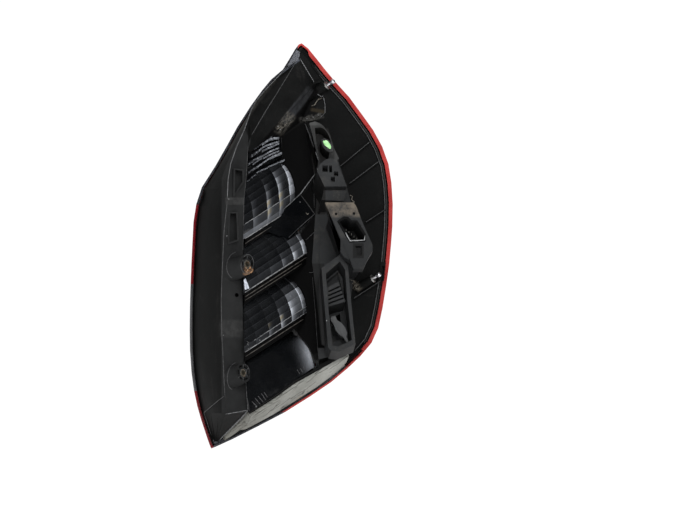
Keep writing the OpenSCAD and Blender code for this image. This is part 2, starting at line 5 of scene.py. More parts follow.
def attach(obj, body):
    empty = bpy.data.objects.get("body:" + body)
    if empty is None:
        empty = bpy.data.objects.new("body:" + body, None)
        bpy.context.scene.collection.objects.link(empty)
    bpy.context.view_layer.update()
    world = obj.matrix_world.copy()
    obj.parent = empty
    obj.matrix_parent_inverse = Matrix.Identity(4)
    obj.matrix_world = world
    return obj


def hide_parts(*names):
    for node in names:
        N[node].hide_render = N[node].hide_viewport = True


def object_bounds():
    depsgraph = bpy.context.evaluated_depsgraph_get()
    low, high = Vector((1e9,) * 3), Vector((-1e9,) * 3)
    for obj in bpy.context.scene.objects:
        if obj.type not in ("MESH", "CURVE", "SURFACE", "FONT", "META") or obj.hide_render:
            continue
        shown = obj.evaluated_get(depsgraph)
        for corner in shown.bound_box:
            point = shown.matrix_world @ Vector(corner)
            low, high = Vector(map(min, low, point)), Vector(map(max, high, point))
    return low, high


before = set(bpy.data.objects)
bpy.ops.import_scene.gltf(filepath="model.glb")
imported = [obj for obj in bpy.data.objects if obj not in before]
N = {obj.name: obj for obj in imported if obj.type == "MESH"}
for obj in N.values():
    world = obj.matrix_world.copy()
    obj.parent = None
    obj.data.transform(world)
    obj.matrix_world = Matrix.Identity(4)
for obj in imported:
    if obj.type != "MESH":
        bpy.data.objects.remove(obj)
cad_lo, cad_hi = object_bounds()
rng = random.Random(7)
S = 0.00104          # metres to one step of the design grid
scene = bpy.context.scene


def q(u, v, d):
    return Vector(((u - 247.5) * S, d * 0.001, (264 - v) * S))


# ---------------------------------------------------------------- materials
class Mat:
    """A node material built step by step on one Principled shader."""

    def __init__(self, name, **sockets):
        self.m = bpy.data.materials.new(name)
        self.m.use_nodes = True
        self.t = self.m.node_tree
        self.t.nodes.clear()
        self.out = self.t.nodes.new("ShaderNodeOutputMaterial")
        self.p = self.t.nodes.new("ShaderNodeBsdfPrincipled")
        self.t.links.new(self.p.outputs[0], self.out.inputs[0])
        for k, v in sockets.items():
            self.p.inputs[k.replace("_", " ")].default_value = v
        self.co = self.t.nodes.new("ShaderNodeTexCoord").outputs["Object"]

    def link(self, a, b):
        self.t.links.new(a, b)
        return b

    def node(self, kind, **kw):
        n = self.t.nodes.new(kind)
        for k, v in kw.items():
            setattr(n, k, v)
        return n

    def noise(self, scale, detail=3, rough=0.5, dist=0.0, stretch=None, turn=(0, 0, 0)):
        co = self.co
        if stretch:
            mp = self.node("ShaderNodeMapping")
            mp.inputs["Scale"].default_value = stretch
            mp.inputs["Rotation"].default_value = turn
            self.link(co, mp.inputs["Vector"])
            co = mp.outputs[0]
        n = self.node("ShaderNodeTexNoise")
        n.inputs["Scale"].default_value = scale
        n.inputs["Detail"].default_value = detail
        n.inputs["Roughness"].default_value = rough
        n.inputs["Distortion"].default_value = dist
        self.link(co, n.inputs["Vector"])
        return n.outputs["Fac"]

    def remap(self, x, a, b, c=0.0, d=1.0, smooth=True):
        n = self.node("ShaderNodeMapRange", interpolation_type="SMOOTHSTEP" if smooth else "LINEAR")
        for k, v in zip(("From Min", "From Max", "To Min", "To Max"), (a, b, c, d)):
            n.inputs[k].default_value = v
        self.link(x, n.inputs["Value"])
        return n.outputs[0]

    def math(self, op, a, b=None, clamp=False):
        n = self.node("ShaderNodeMath", operation=op, use_clamp=clamp)
        for i, x in enumerate((a, b)):
            if x is None:
                continue
            if isinstance(x, (int, float)):
                n.inputs[i].default_value = x
            else:
                self.link(x, n.inputs[i])
        return n.outputs[0]

    def mix(self, fac, a, b, mode="MIX"):
        n = self.node("ShaderNodeMix", data_type="RGBA", blend_type=mode)
        for i, x in ((0, fac), (6, a), (7, b)):
            if isinstance(x, (int, float)):
                n.inputs[i].default_value = x
            elif isinstance(x, tuple):
                n.inputs[i].default_value = (*x, 1.0)
            else:
                self.link(x, n.inputs[i])
        return n.outputs[2]

    def axis(self, k):
        n = self.node("ShaderNodeSeparateXYZ")
        self.link(self.co, n.inputs[0])
        return n.outputs[k]

    def near(self, point, r0, r1):
        """1 inside r0 metres of the point, falling to 0 at r1."""
        v = self.node("ShaderNodeVectorMath", operation="DISTANCE")
        self.link(self.co, v.inputs[0])
        v.inputs[1].default_value = point
        return self.remap(v.outputs["Value"], r0, r1, 1.0, 0.0)

    def near2(self, u, v, r0, r1):
        """The same measured in grid steps across the face only, whatever the depth."""
        mv = self.node("ShaderNodeVectorMath", operation="MULTIPLY")
        self.link(self.co, mv.inputs[0])
        mv.inputs[1].default_value = (1, 0, 1)
        d = self.node("ShaderNodeVectorMath", operation="DISTANCE")
        self.link(mv.outputs[0], d.inputs[0])
        c = q(u, v, 0)
        d.inputs[1].default_value = (c.x, 0, c.z)
        return self.remap(d.outputs["Value"], r0 * S, r1 * S, 1.0, 0.0)

    def across(self, a, b, along=False):
        """Signed distance in grid steps from the line a-b (positive on its left side going down), or along it from a."""
        du, dv = b[0] - a[0], b[1] - a[1]
        L = math.hypot(du, dv)
        if along:
            cx, cz, c0 = du / (L * S), -dv / (L * S), (du * (247.5 - a[0]) + dv * (264 - a[1])) / L
        else:
            cx, cz, c0 = -dv / (L * S), -du / (L * S), (du * (264 - a[1]) - dv * (247.5 - a[0])) / L
        d = self.node("ShaderNodeVectorMath", operation="DOT_PRODUCT")
        self.link(self.co, d.inputs[0])
        d.inputs[1].default_value = (cx, 0, cz)
        return self.math("ADD", d.outputs["Value"], c0)

    def left_of(self, a, b, soft=1.0):
        return self.remap(self.across(a, b), -soft / 2, soft / 2)

    def line(self, a, b, w0, w1):
        """1 on the segment a-b, w0 steps wide each way, fading out at w1."""
        d = self.math("ABSOLUTE", self.across(a, b))
        t = self.across(a, b, True)
        L = math.hypot(b[0] - a[0], b[1] - a[1])
        ends = self.math("MULTIPLY", self.remap(t, -w1, 0), self.remap(t, L, L + w1, 1.0, 0.0))
        return self.math("MULTIPLY", self.remap(d, w0, w1, 1.0, 0.0), ends)

    def up(self, a=0.3, b=0.9, axis=2):
        g = self.node("ShaderNodeNewGeometry")
        n = self.node("ShaderNodeSeparateXYZ")
        self.link(g.outputs["True Normal"], n.inputs[0])
        return self.remap(n.outputs[axis], a, b)

    def colour(self, c):
        self.link(c, self.p.inputs["Base Color"])

    def rough(self, r):
        self.link(r, self.p.inputs["Roughness"])

    def bump(self, height, strength=0.3, distance=0.0005):
        b = self.node("ShaderNodeBump")
        b.inputs["Strength"].default_value = strength
        b.inputs["Distance"].default_value = distance
        self.link(height, b.inputs["Height"])
        old = self.p.inputs["Normal"]
        if old.is_linked:
            self.link(old.links[0].from_socket, b.inputs["Normal"])
        self.link(b.outputs[0], self.p.inputs["Normal"])


def plastic(name, dark, light, dust, rough=(0.38, 0.55), spec=0.4, grain=0.25, dusty=0.35, scratch=0.25, turn=(0, 0.3, 0)):
    """Moulded black or grey plastic: cloudy tone, fine grain, thin scratches and dust in patches."""
    m = Mat(name, Specular_IOR_Level=spec)
    cloud = m.noise(22, 5, 0.6)
    fine = m.noise(900, 4, 0.6)
    base = m.mix(m.remap(cloud, 0.35, 0.68), dark, light)
    lines = m.noise(60, 3, 0.6, 0.2, stretch=(1, 1, 0.06), turn=turn)
    lines2 = m.noise(75, 3, 0.6, 0.2, stretch=(0.07, 1, 1), turn=(0, 0.9, 0))
    scr = m.math("MULTIPLY", m.math("ADD", m.remap(lines, 0.61, 0.68), m.math("MULTIPLY", m.remap(lines2, 0.63, 0.7), 0.6), clamp=True), m.remap(fine, 0.4, 0.6))
    base = m.mix(m.math("MULTIPLY", scr, scratch), base, dust)
    specks = m.math("MULTIPLY", m.remap(m.noise(420, 2, 0.5), 0.66, 0.72), m.remap(m.noise(35, 3, 0.6), 0.45, 0.65))
    patch = m.math("MULTIPLY", m.remap(m.noise(48, 6, 0.7, 0.4), 0.5, 0.78), m.remap(fine, 0.3, 0.7, 0.4, 1.0))
    d = m.math("ADD", m.math("MULTIPLY", patch, dusty), m.math("MULTIPLY", specks, dusty * 1.3), clamp=True)
    base = m.mix(d, base, dust)
    m.base, m.dustiness, m.fine = base, d, fine
    m.colour(base)
    m.rough(m.math("ADD", m.remap(cloud, 0.3, 0.7, rough[0], rough[1]), m.math("MULTIPLY", d, 0.3), clamp=True))
    m.bump(fine, grain, 0.0002)
    return m


def zone(m, u0, u1, v0, v1, d0, d1, soft=0.003):
    """1 inside a box of the design grid, fading over soft metres outside it."""
    lo, hi = q(u0, v1, d0), q(u1, v0, d1)
    out = None
    for k in range(3):
        a = m.axis(k)
        w = m.math("MULTIPLY", m.remap(a, lo[k] - soft, lo[k]), m.remap(a, hi[k], hi[k] + soft, 1.0, 0.0))
        out = w if out is None else m.math("MULTIPLY", out, w)
    return out


housing = plastic("housing_satin_black", (0.0044, 0.0046, 0.0046), (0.0076, 0.0078, 0.0078), (0.07, 0.067, 0.062), rough=(0.55, 0.72), spec=0.028, dusty=0.07, scratch=0.11)
hb = housing.base
# Painted shade: the top panel's face between the fold and the valley line is drawn darker
hb = housing.mix(housing.math("MULTIPLY", housing.math("MULTIPLY", zone(housing, 250, 316, 60, 152, 20, 79, 0.001), housing.left_of((250.5, 136), (296, 61), 1.5)), housing.left_of((262, 140.5), (312.5, 85.5), 1.0)), hb, (0.0035, 0.0035, 0.0036))
flange = housing.math("MULTIPLY", zone(housing, 222.5, 250, 118, 412, -8, 28, 0.0012), housing.remap(housing.noise(60, 5, 0.65), 0.25, 0.6, 0.6, 1.0))
hb = housing.mix(housing.math("MULTIPLY", flange, 0.62), hb, (0.0245, 0.025, 0.0255))
band = housing.math("MAXIMUM", zone(housing, 226, 246, 198, 204.5, -5, 30, 0.0008), zone(housing, 222, 244, 322, 335, -5, 30, 0.004))
hb = housing.mix(housing.math("MULTIPLY", band, housing.remap(housing.noise(170, 4, 0.7), 0.35, 0.65, 0.25, 0.8)), hb, (0.036, 0.036, 0.036))
# Painted sheen: a grey glow on the wall along its outline, strongest at the top
OUTL = [(300, 42.5), (289.6, 58.5), (271.2, 79.3), (250.8, 105.8), (228.1, 143.5), (201.7, 187.3)]
for (a, b), k in zip(zip(OUTL, OUTL[1:]), (0.5, 0.55, 0.7, 0.95, 1.0)):
    g = housing.math("MULTIPLY", housing.line(a, b, 0.4, 6.5), housing.math("MULTIPLY", housing.remap(housing.noise(120, 4, 0.6), 0.3, 0.6, 0.6, 1.0), k))
    hb = housing.mix(housing.math("MULTIPLY", g, 0.95), hb, (0.072, 0.07, 0.064))
# Lighter grey and bluish bands along the valley, dirt where it meets the flutes, brown dirt above the shelf under the
# upper post, and painted shade in the deep gap between them
hb = housing.mix(housing.math("MULTIPLY", housing.line((297, 106), (286, 121), 3.0, 5.0), housing.remap(housing.noise(150, 4, 0.6), 0.35, 0.6, 0.2, 0.8)), hb, (0.04, 0.042, 0.047))
crumb = housing.remap(housing.noise(210, 5, 0.7, 0.5), 0.38, 0.62)
hb = housing.mix(housing.math("MULTIPLY", housing.line((309, 91), (286, 121), 3.0, 5.5), housing.remap(housing.noise(110, 4, 0.6), 0.3, 0.65, 0.35, 0.8)), hb, (0.026, 0.027, 0.029))
hb = housing.mix(housing.math("MULTIPLY", housing.line((290, 117), (280, 130), 3.5, 6.5), housing.math("MULTIPLY", crumb, 0.85)), hb, (0.12, 0.112, 0.098))
hb = housing.mix(housing.math("MULTIPLY", housing.line((302, 120), (321, 115.5), 2.2, 4), housing.math("MULTIPLY", crumb, 0.6)), hb, (0.075, 0.073, 0.068))
hb = housing.mix(housing.math("MULTIPLY", housing.line((312, 109.5), (324, 111.8), 0.8, 2.6), 0.7), hb, (0.03, 0.024, 0.016))
# Painted shade: the deep gap right of the valley drawn near black
hb = housing.mix(housing.math("MULTIPLY", housing.line((316, 91), (302, 114), 1.6, 3.2), 0.95), hb, (0.0015, 0.0015, 0.0015))
hb = housing.mix(housing.math("MULTIPLY", housing.line((352, 283), (358, 288), 2.0, 5), housing.math("MULTIPLY", crumb, 0.8)), hb, (0.14, 0.125, 0.1))
# Bluish sheen along the upper left ridge
hb = housing.mix(housing.math("MULTIPLY", housing.line((298, 60), (271.5, 79), 0.9, 2.2), housing.remap(housing.noise(160, 3, 0.6), 0.3, 0.6, 0.45, 0.9)), hb, (0.1, 0.11, 0.135))
hb = housing.mix(housing.math("MULTIPLY", housing.line((271.5, 79), (253.5, 101), 0.3, 1.4), 0.6), hb, (0.08, 0.088, 0.105))
housing.base = hb
housing.colour(hb)
# Painted shade: a darker copy of the housing plastic for the recess plates, the partition bands and the rim groove
shaded_black = plastic("housing_black_painted_shade", (0.0022, 0.0022, 0.0023), (0.0034, 0.0034, 0.0035), (0.03, 0.029, 0.027), rough=(0.6, 0.8), spec=0.02, dusty=0.03, scratch=0.05)
# Rust-coloured stain at the upper boss
rust = housing.math("MULTIPLY", housing.near(q(248.5, 270, 0), 0.0035, 0.008), housing.remap(housing.noise(330, 4, 0.7), 0.35, 0.6))
c = housing.mix(rust, housing.base, (0.42, 0.24, 0.13))
housing.colour(c)

# The reflector's gloss black. Painted highlight: a per-point value mixes the black towards a light bluish grey, warmer
# where the warm value is set, with a touch of metal and roughness
gloss = Mat("reflector_gloss_black_painted_highlight", Specular_IOR_Level=0.36)
cl = gloss.noise(30, 4, 0.6)
painted_highlight = gloss.node("ShaderNodeAttribute", attribute_name="painted_highlight")
warm = gloss.node("ShaderNodeAttribute", attribute_name="warm")
highlight_colour = gloss.mix(gloss.remap(gloss.noise(260, 4, 0.6), 0.3, 0.7), (0.7, 0.74, 0.82), (0.84, 0.88, 0.96))
highlight_colour = gloss.mix(warm.outputs["Fac"], highlight_colour, (0.85, 0.72, 0.42))
highlight_amount = gloss.math("MULTIPLY", gloss.math("MULTIPLY", gloss.math("POWER", painted_highlight.outputs["Fac"], 1.32), 0.84), gloss.remap(gloss.noise(320, 4, 0.65), 0.25, 0.5, 0.8, 1.0))
gloss.colour(gloss.mix(highlight_amount, gloss.mix(gloss.remap(cl, 0.4, 0.7), (0.0022, 0.0025, 0.003), (0.0042, 0.0047, 0.0053)), highlight_colour))
gloss.link(gloss.math("MULTIPLY", highlight_amount, 0.12), gloss.p.inputs["Metallic"])
gloss.rough(gloss.math("ADD", gloss.remap(gloss.noise(140, 4, 0.6), 0.35, 0.7, 0.14, 0.26), gloss.math("MULTIPLY", highlight_amount, 0.12)))
gloss.bump(gloss.noise(260, 2, 0.5), 0.08, 0.0004)

carrier = plastic("carrier_grey", (0.0155, 0.0163, 0.017), (0.0235, 0.0245, 0.0256), (0.125, 0.114, 0.095), rough=(0.45, 0.6), spec=0.09, dusty=0.2, scratch=0.16)
for (a, b, w) in (((304.5, 122), (315, 121.5), 3.5), ((315, 121.5), (329.5, 134.5), 5), ((329.5, 134.5), (339, 157.5), 5), ((312.5, 124), (317, 142), 3)):
    carrier.base = carrier.mix(carrier.math("MULTIPLY", carrier.line(a, b, w * 0.6, w * 1.5), 0.5), carrier.base, (0.052, 0.053, 0.052))
# Painted shade: the carrier's left flank drawn near black
flank = carrier.math("MULTIPLY", carrier.left_of((305, 123), (319, 161), 0.8), carrier.math("MULTIPLY", carrier.remap(carrier.axis(2), q(0, 173, 0).z, q(0, 171, 0).z), carrier.remap(carrier.axis(1), 0.0535, 0.0545)))
carrier.base = carrier.mix(carrier.math("MULTIPLY", flank, 0.95), carrier.base, (0.0025, 0.0025, 0.0026))
# Painted shade: the deep pocket of the carrier drawn darker
pocket = carrier.math("MULTIPLY", zone(carrier, 312, 334, 126, 170, 52.6, 76, 0.0012), 0.9)
carrier.base = carrier.mix(pocket, carrier.base, (0.005, 0.0048, 0.0044))
# Painted shade: a dark side face of the carrier
side_dark = carrier.math("MULTIPLY", zone(carrier, 300, 325, 168, 214, 37, 76, 0.001), carrier.left_of((317.3, 169.5), (325, 187.5), 1.0))
carrier.base = carrier.mix(carrier.math("MULTIPLY", side_dark, 0.85), carrier.base, (0.006, 0.0058, 0.0054))
# Painted shade: faces turned sideways drawn darker on the lower part of the carrier
flanks = carrier.math("MULTIPLY", carrier.up(-0.75, -0.3, 1), carrier.remap(carrier.axis(2), q(0, 188, 0).z, q(0, 186, 0).z, 1.0, 0.0))
carrier.base = carrier.mix(carrier.math("MULTIPLY", flanks, 0.7), carrier.base, (0.0065, 0.0067, 0.0068))
# Painted shade: the left side of the lower frame drawn dark
low_left = carrier.math("MULTIPLY", zone(carrier, 308, 330, 264, 346, 20, 76, 0.001), carrier.math("MULTIPLY", carrier.left_of((324.4, 268), (330, 346), 1.2), carrier.remap(carrier.axis(1), 0.045, 0.05)))
carrier.base = carrier.mix(carrier.math("MULTIPLY", low_left, 0.75), carrier.base, (0.007, 0.0072, 0.0073))
# Painted shade in the latch groove
groove = carrier.math("MULTIPLY", zone(carrier, 353, 363.5, 243.5, 258, 21, 27.5, 0.0006), 0.9)
carrier.base = carrier.mix(groove, carrier.base, (0.003, 0.003, 0.0031))
tower_low = carrier.math("MULTIPLY", zone(carrier, 336, 374, 239, 272, 19, 30, 0.002), 0.6)
carrier.base = carrier.mix(carrier.math("MULTIPLY", tower_low, carrier.math("SUBTRACT", 1.0, groove)), carrier.base, (0.0115, 0.0121, 0.0128))
tan = carrier.math("MULTIPLY", carrier.math("MULTIPLY", carrier.remap(carrier.axis(2), 0.0468, 0.0515), carrier.remap(carrier.axis(2), 0.0645, 0.0665, 1.0, 0.0)), carrier.math("MULTIPLY", carrier.remap(carrier.axis(1), 0.0235, 0.0245, 1.0, 0.0), carrier.remap(carrier.noise(75, 5, 0.65), 0.34, 0.66)))
carrier.colour(carrier.mix(carrier.math("MULTIPLY", tan, 0.85), carrier.base, (0.125, 0.106, 0.084)))

red = Mat("lens_red_gloss", Roughness=0.16, Specular_IOR_Level=0.3)
hid = red.math("MULTIPLY", red.remap(red.axis(1), 0.0866, 0.0872, 1.0, 0.0), red.math("MAXIMUM", red.math("MULTIPLY", red.remap(red.axis(2), q(0, 206, 0).z, q(0, 203.5, 0).z), red.remap(red.axis(0), q(297.5, 0, 0).x, q(298.5, 0, 0).x, 1.0, 0.0)),
    red.math("MULTIPLY", red.remap(red.axis(2), q(0, 413, 0).z, q(0, 411, 0).z, 1.0, 0.0), red.remap(red.axis(0), q(212.5, 0, 0).x, q(214.5, 0, 0).x))))
edge_tone = red.mix(red.remap(red.noise(900, 3, 0.7), 0.4, 0.65), (0.008, 0.008, 0.009), (0.06, 0.063, 0.075))
# Painted shade: the red lens darker towards its left edge
left = red.remap(red.axis(0), q(212, 0, 0).x, q(225, 0, 0).x, 0.88, 0.0)
base = red.mix(red.remap(red.noise(40, 3, 0.5), 0.3, 0.7), (0.27, 0.024, 0.022), (0.37, 0.042, 0.038))
base = red.mix(left, base, (0.1, 0.002, 0.006))
rim = [(347.6, 368.3), (331, 382.3), (309.6, 396.8), (285, 412.2), (257, 426.8)]
keep = None
for a, b in zip(rim, rim[1:]):
    w = red.math("MULTIPLY", red.remap(red.math("ABSOLUTE", red.across(a, b)), 1.2, 2.1, 1.0, 0.0), 1.0)
    t = red.across(a, b, True)
    w = red.math("MULTIPLY", w, red.math("MULTIPLY", red.remap(t, -2, 0), red.remap(t, math.hypot(b[0] - a[0], b[1] - a[1]), math.hypot(b[0] - a[0], b[1] - a[1]) + 2, 1.0, 0.0)))
    keep = w if keep is None else red.math("MAXIMUM", keep, w)
low = red.math("MULTIPLY", red.math("MULTIPLY", red.remap(red.axis(2), q(0, 372, 0).z, q(0, 362, 0).z, 1.0, 0.0), red.remap(red.axis(0), q(230, 0, 0).x, q(240, 0, 0).x)), red.math("SUBTRACT", 1.0, keep))
hid = red.math("MAXIMUM", hid, red.math("MULTIPLY", low, red.remap(red.axis(1), 0.0866, 0.0872, 1.0, 0.0)))
red.colour(red.mix(hid, base, edge_tone))
red.bump(red.noise(400, 2, 0.5), 0.05, 0.0002)
clear = Mat("lens_smoky_clear", Roughness=0.16, Specular_IOR_Level=0.3)
clear.colour(clear.mix(clear.remap(clear.noise(40, 3, 0.5), 0.3, 0.7), (0.045, 0.045, 0.048), (0.08, 0.08, 0.084)))
clear.bump(clear.noise(400, 2, 0.5), 0.05, 0.0002)
rubber = Mat("rubber_black", Specular_IOR_Level=0.25)
rubber.colour(rubber.mix(rubber.noise(200, 4, 0.6), (0.012, 0.012, 0.012), (0.028, 0.027, 0.026)))
rubber.rough(rubber.remap(rubber.noise(90, 3, 0.6), 0.3, 0.7, 0.6, 0.8))
rubber.bump(rubber.noise(1500, 2, 0.5), 0.2, 0.0002)
conn = plastic("connector_dark", (0.003, 0.0031, 0.0032), (0.005, 0.0052, 0.0054), (0.06, 0.057, 0.052), rough=(0.5, 0.65), spec=0.03, dusty=0.06)
leaf = plastic("latch_grey", (0.04, 0.0415, 0.043), (0.06, 0.062, 0.064), (0.16, 0.15, 0.13), rough=(0.45, 0.6), spec=0.2, dusty=0.15)


def metal(name, a, b, stain, rough=(0.2, 0.4), k=0.4):
    m = Mat(name, Metallic=1.0)
    n = m.noise(300, 4, 0.65)
    base = m.mix(m.noise(120, 3, 0.6), a, b)
    m.colour(m.mix(m.math("MULTIPLY", m.remap(n, 0.5, 0.68), k), base, stain))
    m.rough(m.remap(n, 0.3, 0.7, rough[0], rough[1]))
    m.bump(m.noise(700, 3, 0.6), 0.12, 0.0002)
    return m


steel = metal("stud_bright_steel", (0.42, 0.42, 0.44), (0.62, 0.62, 0.65), (0.3, 0.26, 0.22), (0.24, 0.42))
dull = metal("washer_dull_steel", (0.2, 0.2, 0.2), (0.36, 0.36, 0.35), (0.2, 0.15, 0.1), (0.35, 0.55))
brass = metal("insert_brass_rusty", (0.27, 0.245, 0.2), (0.4, 0.365, 0.3), (0.3, 0.17, 0.09), (0.4, 0.6), 0.8)
pins = metal("pins_dull_tin", (0.035, 0.034, 0.031), (0.06, 0.058, 0.053), (0.02, 0.018, 0.016), (0.5, 0.65))
contact = metal("contact_brass", (0.6, 0.5, 0.3), (0.75, 0.64, 0.4), (0.3, 0.22, 0.12), (0.25, 0.45))

foam = Mat("foam_grey_beige", Roughness=0.95, Specular_IOR_Level=0.15)
fc = foam.mix(foam.remap(foam.noise(26, 5, 0.65), 0.35, 0.68), (0.2, 0.203, 0.186), (0.275, 0.278, 0.258))
# Painted light: the foam lighter towards its right end
fc = foam.mix(foam.math("MULTIPLY", foam.remap(foam.axis(0), q(305, 0, 0).x, q(335, 0, 0).x), 0.6), fc, (0.34, 0.345, 0.325))
grainy = foam.noise(520, 4, 0.7)
fc = foam.mix(foam.math("MULTIPLY", foam.remap(grainy, 0.5, 0.72), 0.35), fc, (0.11, 0.108, 0.095))
streak = foam.noise(48, 4, 0.6, 0.3, stretch=(0.12, 1, 1), turn=(0, -0.56, 0))
fc = foam.mix(foam.math("MULTIPLY", foam.remap(streak, 0.54, 0.64), 0.7), fc, (0.06, 0.056, 0.047))
# Painted shade in the foam's creases: thin dark lines along its length
creases = foam.noise(95, 4, 0.65, 0.3, stretch=(0.06, 1, 1), turn=(0, -0.56, 0))
fc = foam.mix(foam.math("MULTIPLY", foam.remap(creases, 0.57, 0.64), 0.75), fc, (0.035, 0.033, 0.028))
# Painted shade: a dark line in the slot at the foam's right end
fc = foam.mix(foam.math("MULTIPLY", foam.line((328, 362.5), (315, 374), 0.1, 0.9), 0.8), fc, (0.03, 0.03, 0.028))
fc = foam.mix(foam.math("MULTIPLY", foam.remap(foam.axis(0), q(225, 0, 0).x, q(290, 0, 0).x, 1.0, 0.0), 0.6), fc, (0.105, 0.102, 0.088))
stain = foam.math("MULTIPLY", foam.near(q(297.5, 397, 80), 0.003, 0.009), foam.remap(foam.noise(160, 3, 0.6), 0.3, 0.6))
fc = foam.mix(stain, fc, (0.25, 0.17, 0.1))
foam.colour(fc)
foam.bump(grainy, 0.5, 0.0005)
foam.bump(streak, 0.4, 0.0012)

pad = Mat("tip_pad_knurled", Specular_IOR_Level=0.25)
vor = pad.node("ShaderNodeTexVoronoi")
vor.inputs["Scale"].default_value = 700
pad.link(pad.co, vor.inputs["Vector"])
pad.colour(pad.mix(pad.remap(vor.outputs["Distance"], 0.1, 0.6), (0.02, 0.0215, 0.025), (0.085, 0.09, 0.104)))
pad.rough(pad.remap(pad.noise(300, 3, 0.6), 0.3, 0.7, 0.3, 0.5))
pad.bump(vor.outputs["Distance"], 0.8, 0.0006)

# Light grey for edges and marks: real wear on the scratch marks, painted highlight along the ridges and edges that
# catch the light
wear_and_highlight = Mat("edge_grey_wear_and_highlight", Specular_IOR_Level=0.3)
wear_and_highlight.colour(wear_and_highlight.mix(wear_and_highlight.remap(wear_and_highlight.noise(420, 4, 0.7), 0.35, 0.65), (0.05, 0.051, 0.053), (0.15, 0.153, 0.158)))
wear_and_highlight.rough(wear_and_highlight.remap(wear_and_highlight.noise(200, 3, 0.6), 0.3, 0.7, 0.35, 0.55))
wear_and_highlight.bump(wear_and_highlight.noise(900, 3, 0.6), 0.3, 0.0003)
faint = Mat("faint_edge_grey", Specular_IOR_Level=0.25)
faint.colour(faint.mix(faint.remap(faint.noise(420, 4, 0.7), 0.35, 0.65), (0.024, 0.0245, 0.025), (0.06, 0.061, 0.063)))
faint.rough(faint.remap(faint.noise(200, 3, 0.6), 0.3, 0.7, 0.4, 0.6))
faint.bump(faint.noise(900, 3, 0.6), 0.3, 0.0003)
seam = Mat("seam_light_grey", Specular_IOR_Level=0.4)
seam.colour(seam.mix(seam.remap(seam.noise(380, 4, 0.7), 0.35, 0.65), (0.09, 0.092, 0.095), (0.3, 0.305, 0.31)))
seam.rough(seam.remap(seam.noise(200, 3, 0.6), 0.3, 0.7, 0.3, 0.5))
seam.bump(seam.noise(900, 3, 0.6), 0.3, 0.0003)
brown = Mat("partition_edge_brown", Specular_IOR_Level=0.3)
brown.colour(brown.mix(brown.remap(brown.noise(300, 4, 0.7), 0.35, 0.65), (0.02, 0.019, 0.017), (0.075, 0.068, 0.06)))
brown.rough(brown.remap(brown.noise(200, 3, 0.6), 0.3, 0.7, 0.4, 0.6))
brown.bump(brown.noise(900, 3, 0.6), 0.3, 0.0003)
dirt = Mat("dry_dirt_tan", Roughness=0.95, Specular_IOR_Level=0.1)
dirt.colour(dirt.mix(dirt.remap(dirt.noise(600, 5, 0.7), 0.35, 0.65), (0.06, 0.055, 0.047), (0.2, 0.185, 0.158)))
dirt.bump(dirt.noise(1200, 4, 0.7), 0.6, 0.0004)
green = Mat("paint_dab_green", Specular_IOR_Level=0.4)
green.colour(green.mix(green.remap(green.noise(260, 3, 0.6), 0.35, 0.65), (0.26, 0.56, 0.22), (0.42, 0.74, 0.36)))
green.rough(green.remap(green.noise(200, 3, 0.6), 0.3, 0.7, 0.3, 0.5))
green.bump(green.noise(500, 3, 0.6), 0.4, 0.0004)

knurl = Mat("knurled_rim_band", Specular_IOR_Level=0.15)
kv = knurl.node("ShaderNodeTexVoronoi")
kv.inputs["Scale"].default_value = 620
knurl.link(knurl.co, kv.inputs["Vector"])
hatch = knurl.math("MULTIPLY", knurl.remap(kv.outputs["Distance"], 0.15, 0.6), knurl.remap(knurl.noise(45, 4, 0.6), 0.35, 0.65))
knurl.colour(knurl.mix(hatch, (0.011, 0.0113, 0.012), (0.075, 0.08, 0.095)))
knurl.rough(knurl.remap(knurl.noise(300, 3, 0.6), 0.3, 0.7, 0.45, 0.65))
knurl.bump(kv.outputs["Distance"], 0.6, 0.0005)
# Light grey for the small bright patch under the upper boss
light_patch = Mat("light_grey_patch", Specular_IOR_Level=0.5, Roughness=0.25)
light_patch.colour(light_patch.mix(light_patch.remap(light_patch.noise(300, 3, 0.6), 0.35, 0.65), (0.22, 0.24, 0.28), (0.5, 0.53, 0.6)))
light_patch.bump(light_patch.noise(500, 3, 0.6), 0.2, 0.0003)
glass = Mat("bulb_glass", Roughness=0.05, Transmission_Weight=0.9, Specular_IOR_Level=0.5)
glass.colour(glass.mix(glass.noise(90, 3, 0.5), (0.82, 0.85, 0.88), (0.9, 0.92, 0.94)))

FOR = {"housing": housing, "reflector": gloss, "lens_red": red, "lens_clear": clear, "lens_seal": rubber, "bulb_carrier": carrier,
       "carrier_gasket": rubber, "connector_shell": conn, "connector_pins": pins, "contact_strip": contact, "latch": leaf,
       "foam_strip": foam, "tip_pad": pad, "ball_stud_upper": steel, "ball_stud_lower": steel, "stud_washer_upper": dull,
       "stud_washer_lower": dull, "screw_insert_upper": brass, "screw_insert_lower": brass}
for name, o in N.items():
    m = FOR.get(name) or (contact if name.startswith("bulb_cap") else glass)
    for sl in o.material_slots:
        sl.material = m.m


# ---------------------------------------------------------------- helpers for pieces
def put(name, mesh, mat):
    o = bpy.data.objects.new(name, mesh)
    scene.collection.objects.link(o)
    o.data.materials.clear()
    o.data.materials.append(mat.m)
    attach(o, "root")
    return o


def made(name, verts, faces, mat, smooth=True, angle=None):
    me = bpy.data.meshes.new(name)
    me.from_pydata([tuple(v) for v in verts], [], faces)
    me.validate()
    bm = bmesh.new()
    bm.from_mesh(me)
    bmesh.ops.recalc_face_normals(bm, faces=bm.faces)
    finish_bm(bm, me, smooth, angle)
    return put(name, me, mat)


def finish_bm(bm, me, smooth=True, angle=None):
    for f in bm.faces:
        f.smooth = smooth
    if angle is not None:
        for e in bm.edges:
            e.smooth = e.calc_face_angle(0) < math.radians(angle)
    bm.to_mesh(me)
    bm.free()


